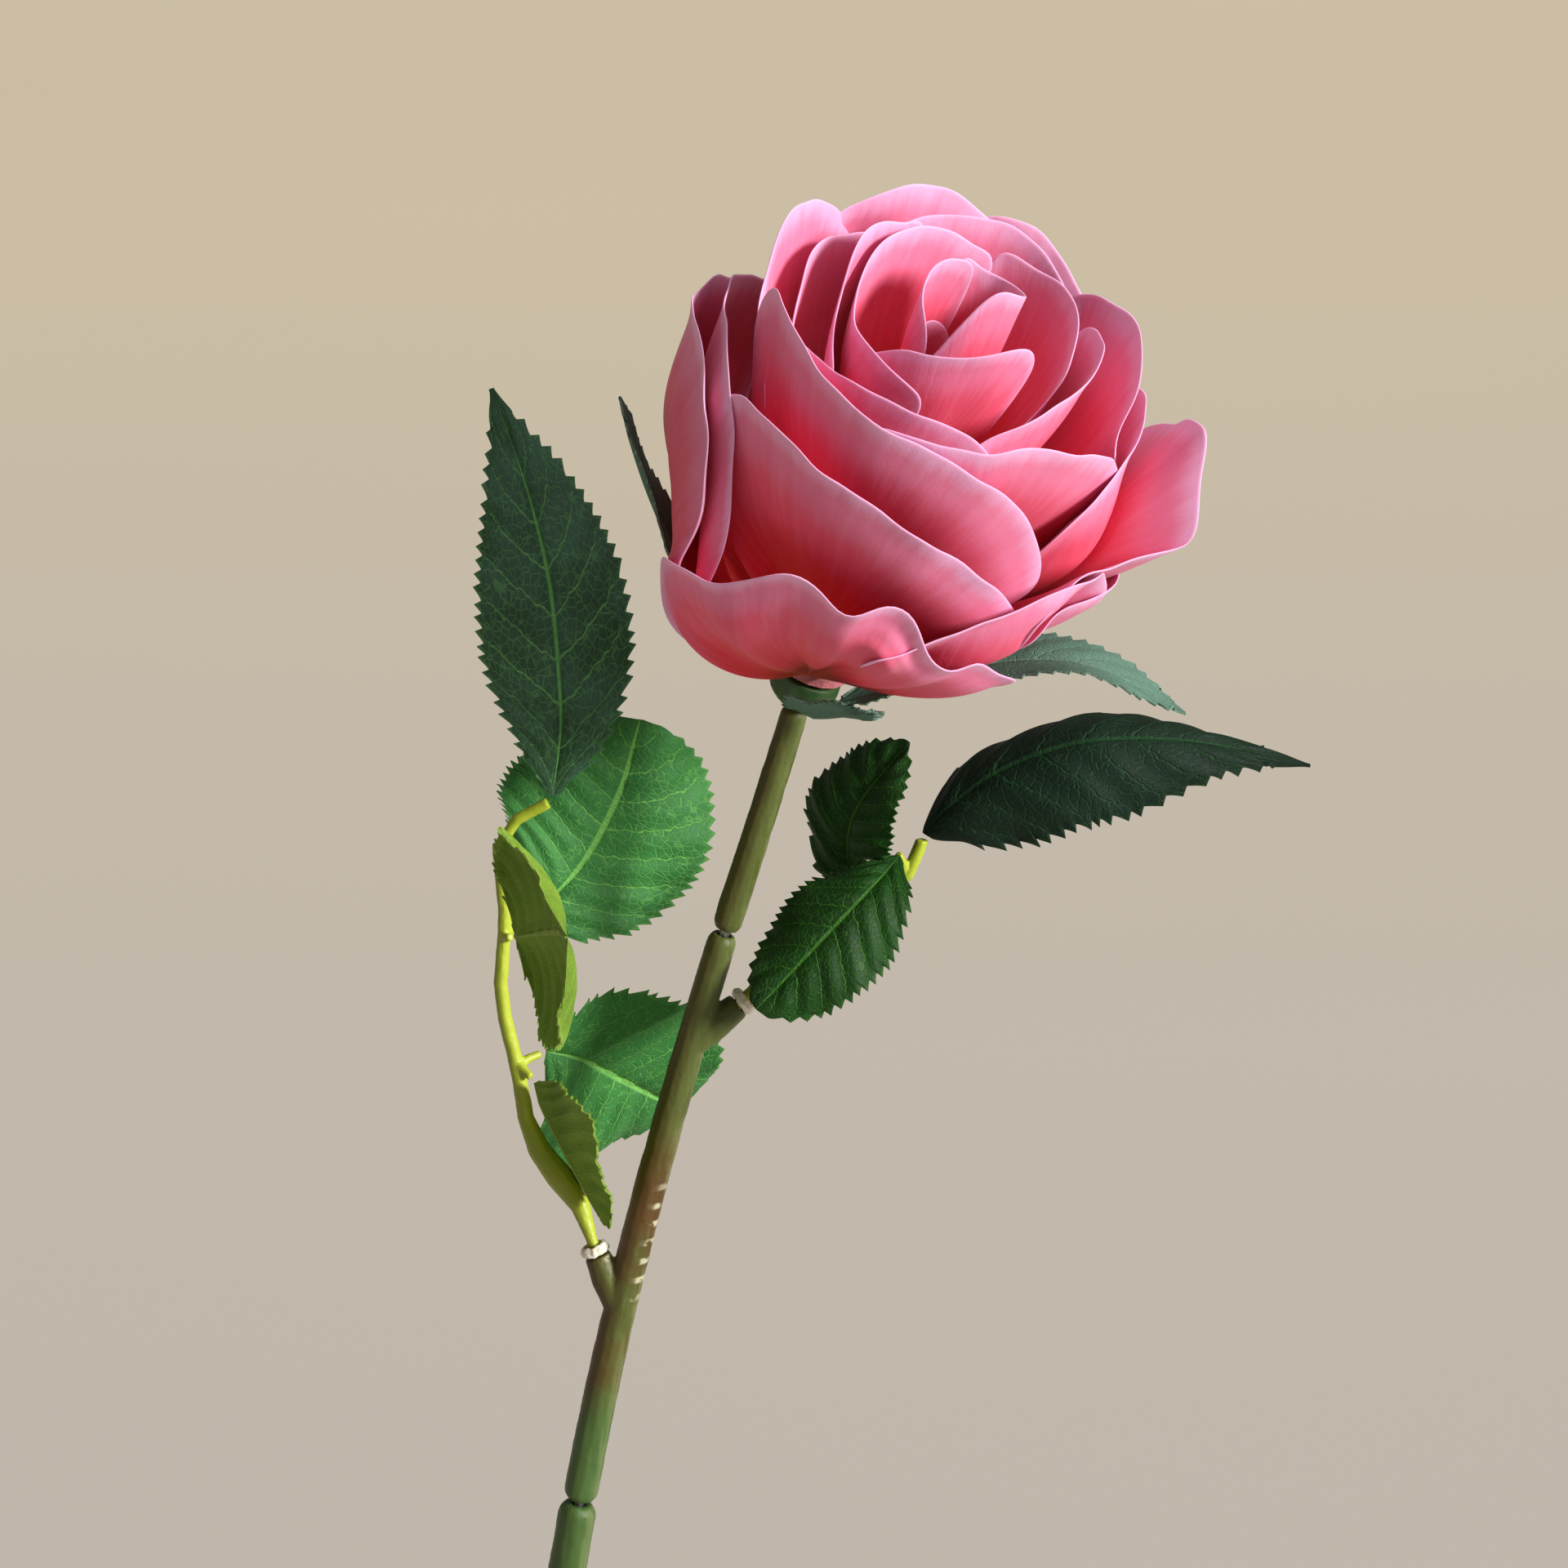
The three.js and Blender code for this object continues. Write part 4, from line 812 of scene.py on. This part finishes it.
PETALS = [
    # The bud in the middle: a tight roll and two that wind round it.
    dict(claw=(46, 2.6), rim=plain_rim(-95, 100, (66, 65, 60), (3.4, 4.6, 4.2)), roll=0.2, ruffle=0.1),
    dict(claw=(43, 3.4), roll=0.2, ruffle=0.1, rim=[
        (-175, 74, 6.2), (-144, 76, 6.4), (-110, 75, 7.0), (-85, 72, 7.2), (-50, 69, 6.7), (-32, 64, 6.5)]),
    dict(claw=(40, 4.0), roll=0.25, ruffle=0.1, rim=[
        (-33, 61, 7.0), (-20, 66, 7.0), (-6, 72, 7.0), (8, 77, 7.0), (25, 79.5, 7.0), (50, 79, 7.1),
        (90, 77, 7.2), (135, 75.5, 7.2), (175, 75, 7.2), (205, 75, 7.3)]),
    # Petals that stand close round the bud.
    dict(claw=(37, 4.6), roll=0.45, ruffle=0.15, rim=[
        (-64, 60, 12.2), (-40, 66, 12.0), (-6, 69, 12.0), (24, 72, 12.2), (48, 73.5, 13.0), (62, 68, 12.8)]),
    dict(claw=(34, 5.0), roll=0.5, ruffle=0.2, rim=[
        (-190, 72, 14.5), (-173, 75, 14.5), (-149, 76.5, 14.5), (-115, 75, 15.2), (-95, 70.5, 16.2),
        (-70, 66, 15.8), (-39, 64.5, 14.7), (-8, 62, 14.4)]),
    dict(claw=(32, 5.4), roll=0.5, ruffle=0.2, rim=[
        (46, 56, 15.6), (64, 62, 16.2), (83, 68, 16.8), (104, 74, 16.8), (127, 76, 16.4), (150, 75, 16.2),
        (172, 73, 16.2)]),
    dict(claw=(30, 5.8), roll=0.5, ruffle=0.2, rim=[
        (-150, 73, 17.2), (-133, 75.5, 17.2), (-110, 76, 17.8), (-95, 73, 18.4), (-88, 68, 18.2),
        (-76, 63, 17.6), (-60, 58, 17.4)]),
    dict(claw=(28, 6.2), roll=0.6, ruffle=0.25, rim=[
        (128, 71, 18.6), (146, 76, 18.8), (168, 78, 18.9), (192, 77, 18.9), (214, 75, 18.8),
        (232, 69, 18.4)]),
    dict(claw=(26, 6.4), roll=0.7, ruffle=0.2, rim=[
        (20, 59, 19.8), (38, 66, 20.2), (60, 69.5, 20.6), (80, 73, 21.0), (100, 73, 20.8), (122, 69, 20.4)]),
    dict(claw=(24, 6.6), roll=0.5, ruffle=0.2, rim=[
        (-96, 54, 21.6), (-76, 59, 21.4), (-46, 62, 21.2), (-24, 63, 21.2), (-2, 63.5, 21.2), (20, 62, 21.2),
        (36, 55, 21.4)]),
    dict(claw=(22.5, 6.8), roll=0.6, ruffle=0.3, rim=[
        (-152, 67, 23.2), (-121, 70, 23.2), (-98, 70, 24.0), (-82, 64, 23.8), (-66, 57, 23.4)]),
    # The round of broad petals whose rims cross the front of the flower.
    dict(claw=(21, 6.8), roll=0.9, ruffle=0.3, full=1.8, rim=[
        (-142, 64, 26.4), (-128, 71, 27.0), (-110, 75, 28.0), (-95, 74, 29.4), (-86, 66, 29.0),
        (-73, 59, 27.8), (-60, 54, 27.4)]),
    dict(claw=(19.5, 6.8), roll=0.7, ruffle=0.3, full=1.9, rim=[
        (-18, 61, 28.2), (2, 64, 28.5), (16, 65, 28.6), (30, 67, 28.8), (52, 66, 29.4), (70, 62, 30.0),
        (80, 55, 31.0), (84, 45, 31.0)]),
    dict(claw=(18, 6.8), roll=0.7, ruffle=0.35, full=2.0, rim=[
        (-78, 60, 28.8), (-71, 69, 29.0), (-57, 68, 29.2), (-43, 66, 29.2), (-23, 64, 29.4), (-8, 63.5, 29.6),
        (8, 62.5, 29.8), (27, 59, 30.0), (44, 51, 30.0), (53, 41, 30.0)]),
    dict(claw=(17, 6.8), roll=0.9, ruffle=0.3, full=1.8, rim=[
        (168, 69, 25.0), (182, 75, 25.2), (197, 77.5, 25.4), (212, 77, 25.4), (226, 73, 25.2),
        (236, 66, 25.0)]),
    dict(claw=(16, 6.8), roll=0.9, ruffle=0.4, full=1.8, rim=[
        (132, 66, 26.0), (146, 72, 26.4), (160, 75.5, 26.6), (172, 76, 26.6), (184, 73, 26.4),
        (194, 67, 26.2)]),
    dict(claw=(15, 6.8), roll=0.9, ruffle=0.3, full=1.8, rim=[
        (66, 52, 26.0), (79, 60, 27.0), (86, 68, 27.6), (97, 74, 27.0), (117, 75, 26.0), (140, 71, 25.4),
        (152, 63, 25.2)]),
    # The loose outer petals, which turn out at their rims.
    dict(claw=(13.9, 6.8), roll=0.8, full=1.8, rim=[
        (56, 52, 29.0), (72, 60, 30.2), (90, 65, 30.8), (110, 65, 30.2), (126, 58, 29.0)]),
    dict(claw=(12.9, 6.8), roll=0.9, ruffle=0.35, full=2.1, rim=[
        (-66, 47, 32.6), (-58, 54, 33.0), (-46, 56, 33.2), (-27, 55, 33.2), (-10, 53.5, 33.4),
        (6, 51.5, 33.6),
        (23, 48, 33.8), (38, 42, 33.6), (45, 34, 33.4)]),
    dict(claw=(11.9, 6.8), roll=0.8, ruffle=0.4, full=3.6, rim=[
        (-134, 50, 32.8), (-116, 57, 33.0), (-98, 60, 33.6), (-80, 60, 33.6), (-64, 57, 33.2),
        (-54, 51, 32.8),
        (-47, 42, 32.4), (-43, 32, 31.6)]),
    dict(claw=(10.9, 6.8), roll=0.9, full=1.9, rim=plain_rim(172, 54, (58, 64, 60), (29.5, 30, 29.5))),
    dict(claw=(9.9, 6.6), roll=1.2, ruffle=0.35, full=(1.3, 1.6), rim=[
        (44, 40, 34.6), (54, 48, 35.6), (66, 50, 38.0), (75, 51.5, 41.5), (78.5, 53, 44.2), (79.5, 56, 43.6),
        (82, 62, 41.0), (86, 67, 40.0), (90, 68, 38.6), (102, 63, 37.0), (116, 53, 35.4)]),
    dict(claw=(9, 6.4), roll=0.9, ruffle=0.5, full=4.6, roll_at=(0.5, 0.25, 1.2), rim=[
        (-158, 42, 34.6), (-138, 50, 35.6), (-118, 54, 36.6), (-104, 57.5, 37.4), (-97, 56, 37.6),
        (-88, 57.5, 37.2),
        (-74, 55.5, 35.6), (-60, 51, 35.0), (-52, 44, 34.4), (-48, 36, 33.4)]),
    dict(claw=(8.1, 6.1), roll=0.9, ruffle=0.3, full=1.3, rim=[
        (6, 29, 34.8), (15, 34, 35.2), (26, 39, 35.4), (38, 43.5, 35.8), (54, 48, 36.4), (66, 46, 36.4),
        (72, 38, 35.8)]),
    dict(claw=(7.2, 5.8), roll=0.9, full=1.9, rim=plain_rim(140, 48, (46, 54, 48), (32, 33, 32))),
    dict(claw=(6.3, 5.4), roll=0.7, full=(1.2, 1.6), rim=plain_rim(90, 38, (38, 44, 38), (31, 34, 33))),
    dict(claw=(5.3, 5.0), roll=0.9, full=2.0, rim=plain_rim(-150, 46, (38, 46, 40), (33, 35, 33))),
    dict(claw=(4.6, 4.6), roll=1.2, ruffle=0.45, full=(3.4, 1.35), bulge=0.0, rim=[
        (-60, 22, 33.0), (-50, 27, 34.4), (-42, 28, 35.4), (-34, 30, 35.6), (-25, 36, 35.6), (-17, 39, 35.4),
        (-9, 37.5, 35.2), (-2, 37, 36.4), (5, 40, 35.6), (11, 39.5, 35.0), (19, 34, 34.6), (26, 31, 35.0),
        (33, 32.5, 34.6), (40, 31, 34.4), (47, 29, 35.6)]),
]
for number, shape in enumerate(PETALS, start=1):
    film = petal(f"soft_petal_{number:02d}", seed=number, **shape)
    film.data.materials.append(petal_back)
    film.data.materials.append(petal_front)
    finish_piece(film, [f"petal_{number:02d}"])

# The foam core is hidden by the petals and stays as it is in the frame.
foam = Finish("core_foam", Roughness=0.95)
pores = foam.noise(foam.place(), 1500.0, detail=3.0)
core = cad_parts["foam_core"]
core.data.materials.clear()
core.data.materials.append(
    foam.feed(
        Base_Color=foam.mix(pores, tint(0.78, 0.38, 0.42), tint(0.90, 0.58, 0.60)),
        Normal=foam.bump(pores, 0.0004, 0.6),
    )
)

# ---- Cup and sepals ----------------------------------------------------------------------------
# A small green plastic cup clamps the petals from below. Five sepals of dyed cloth, paler and
# greyer than the leaves and ragged along the edges, stand out from round it.

cup_plastic = Finish("cup_plastic", Specular_IOR_Level=0.45)
at = cup_plastic.place()
mottle = cup_plastic.noise(at, 260.0, detail=3.0)
flower_cup = recast("flower_cup", "moulded_flower_cup", voxel=0.3, passes=4, grain=0.3, grain_size=2.0)
flower_cup.data.materials.append(
    cup_plastic.feed(
        Base_Color=cup_plastic.mix(mottle, tint(0.13, 0.25, 0.12), tint(0.25, 0.38, 0.19)),
        Roughness=0.4 + 0.2 * mottle,
        Normal=cup_plastic.bump(mottle, 0.0003, 0.5),
    )
)
finish_piece(flower_cup, ["flower_cup"])

sepal_top = leaf_finish("sepal_top", 9, tint(0.20, 0.33, 0.28), tint(0.33, 0.47, 0.41),
                        tint(0.52, 0.62, 0.54), 0.35, 0.6)
sepal_under = leaf_finish("sepal_under", 9, tint(0.12, 0.24, 0.13), tint(0.20, 0.34, 0.18),
                          tint(0.33, 0.44, 0.26), 0.4, 0.6, back=True)
SEPAL_LENGTH = 54
SEPAL_SEAT = 6.1
SEPALS = {
    "sepal_1": dict(angle=-88, reach=1, slopes=[0.72, 1.1, 1.4], seed=21),
    "sepal_2": dict(angle=16, reach=0.5, slopes=[0.74, 0.8, 0.8], seed=22, half=7.2),
    "sepal_3": dict(angle=92, reach=1.08, slopes=[0.92, 0.5, -0.12], seed=23, half=7.2),
    "sepal_4": dict(angle=150, reach=0.95, slopes=[0.62, 0.6, 0.2], seed=24),
    "sepal_5": dict(angle=-150, reach=0.9, slopes=[0.68, 0.7, 0.4], seed=25),
}
for node, shape in SEPALS.items():
    turn = math.radians(shape["angle"])
    height, radius = -1.0, SEPAL_SEAT
    rib = [[radius * math.sin(turn), -radius * math.cos(turn), height]]
    length = SEPAL_LENGTH * shape["reach"] / len(shape["slopes"])
    for slope in shape["slopes"]:
        height += length * math.sin(math.atan(slope))
        radius += length * math.cos(math.atan(slope))
        rib.append([radius * math.sin(turn), -radius * math.cos(turn), height])
    rib = np.array(rib) @ head_turn.T + HEAD_BASE - PLANT
    blade = leaf("cloth_" + node, rib=rib, half=shape.get("half", 5.5),
                 up=head_turn @ np.array([0, 0, 1.0]), fold=8, cup=0, widest=0.4,
                 point=1.1, veins=9, teeth=22, tooth=0.16, wave=0.5, seed=shape["seed"], puff=0.2)
    blade.data.materials.append(sepal_top)
    blade.data.materials.append(sepal_under)
    finish_piece(blade, [node], auto_smooth=50)
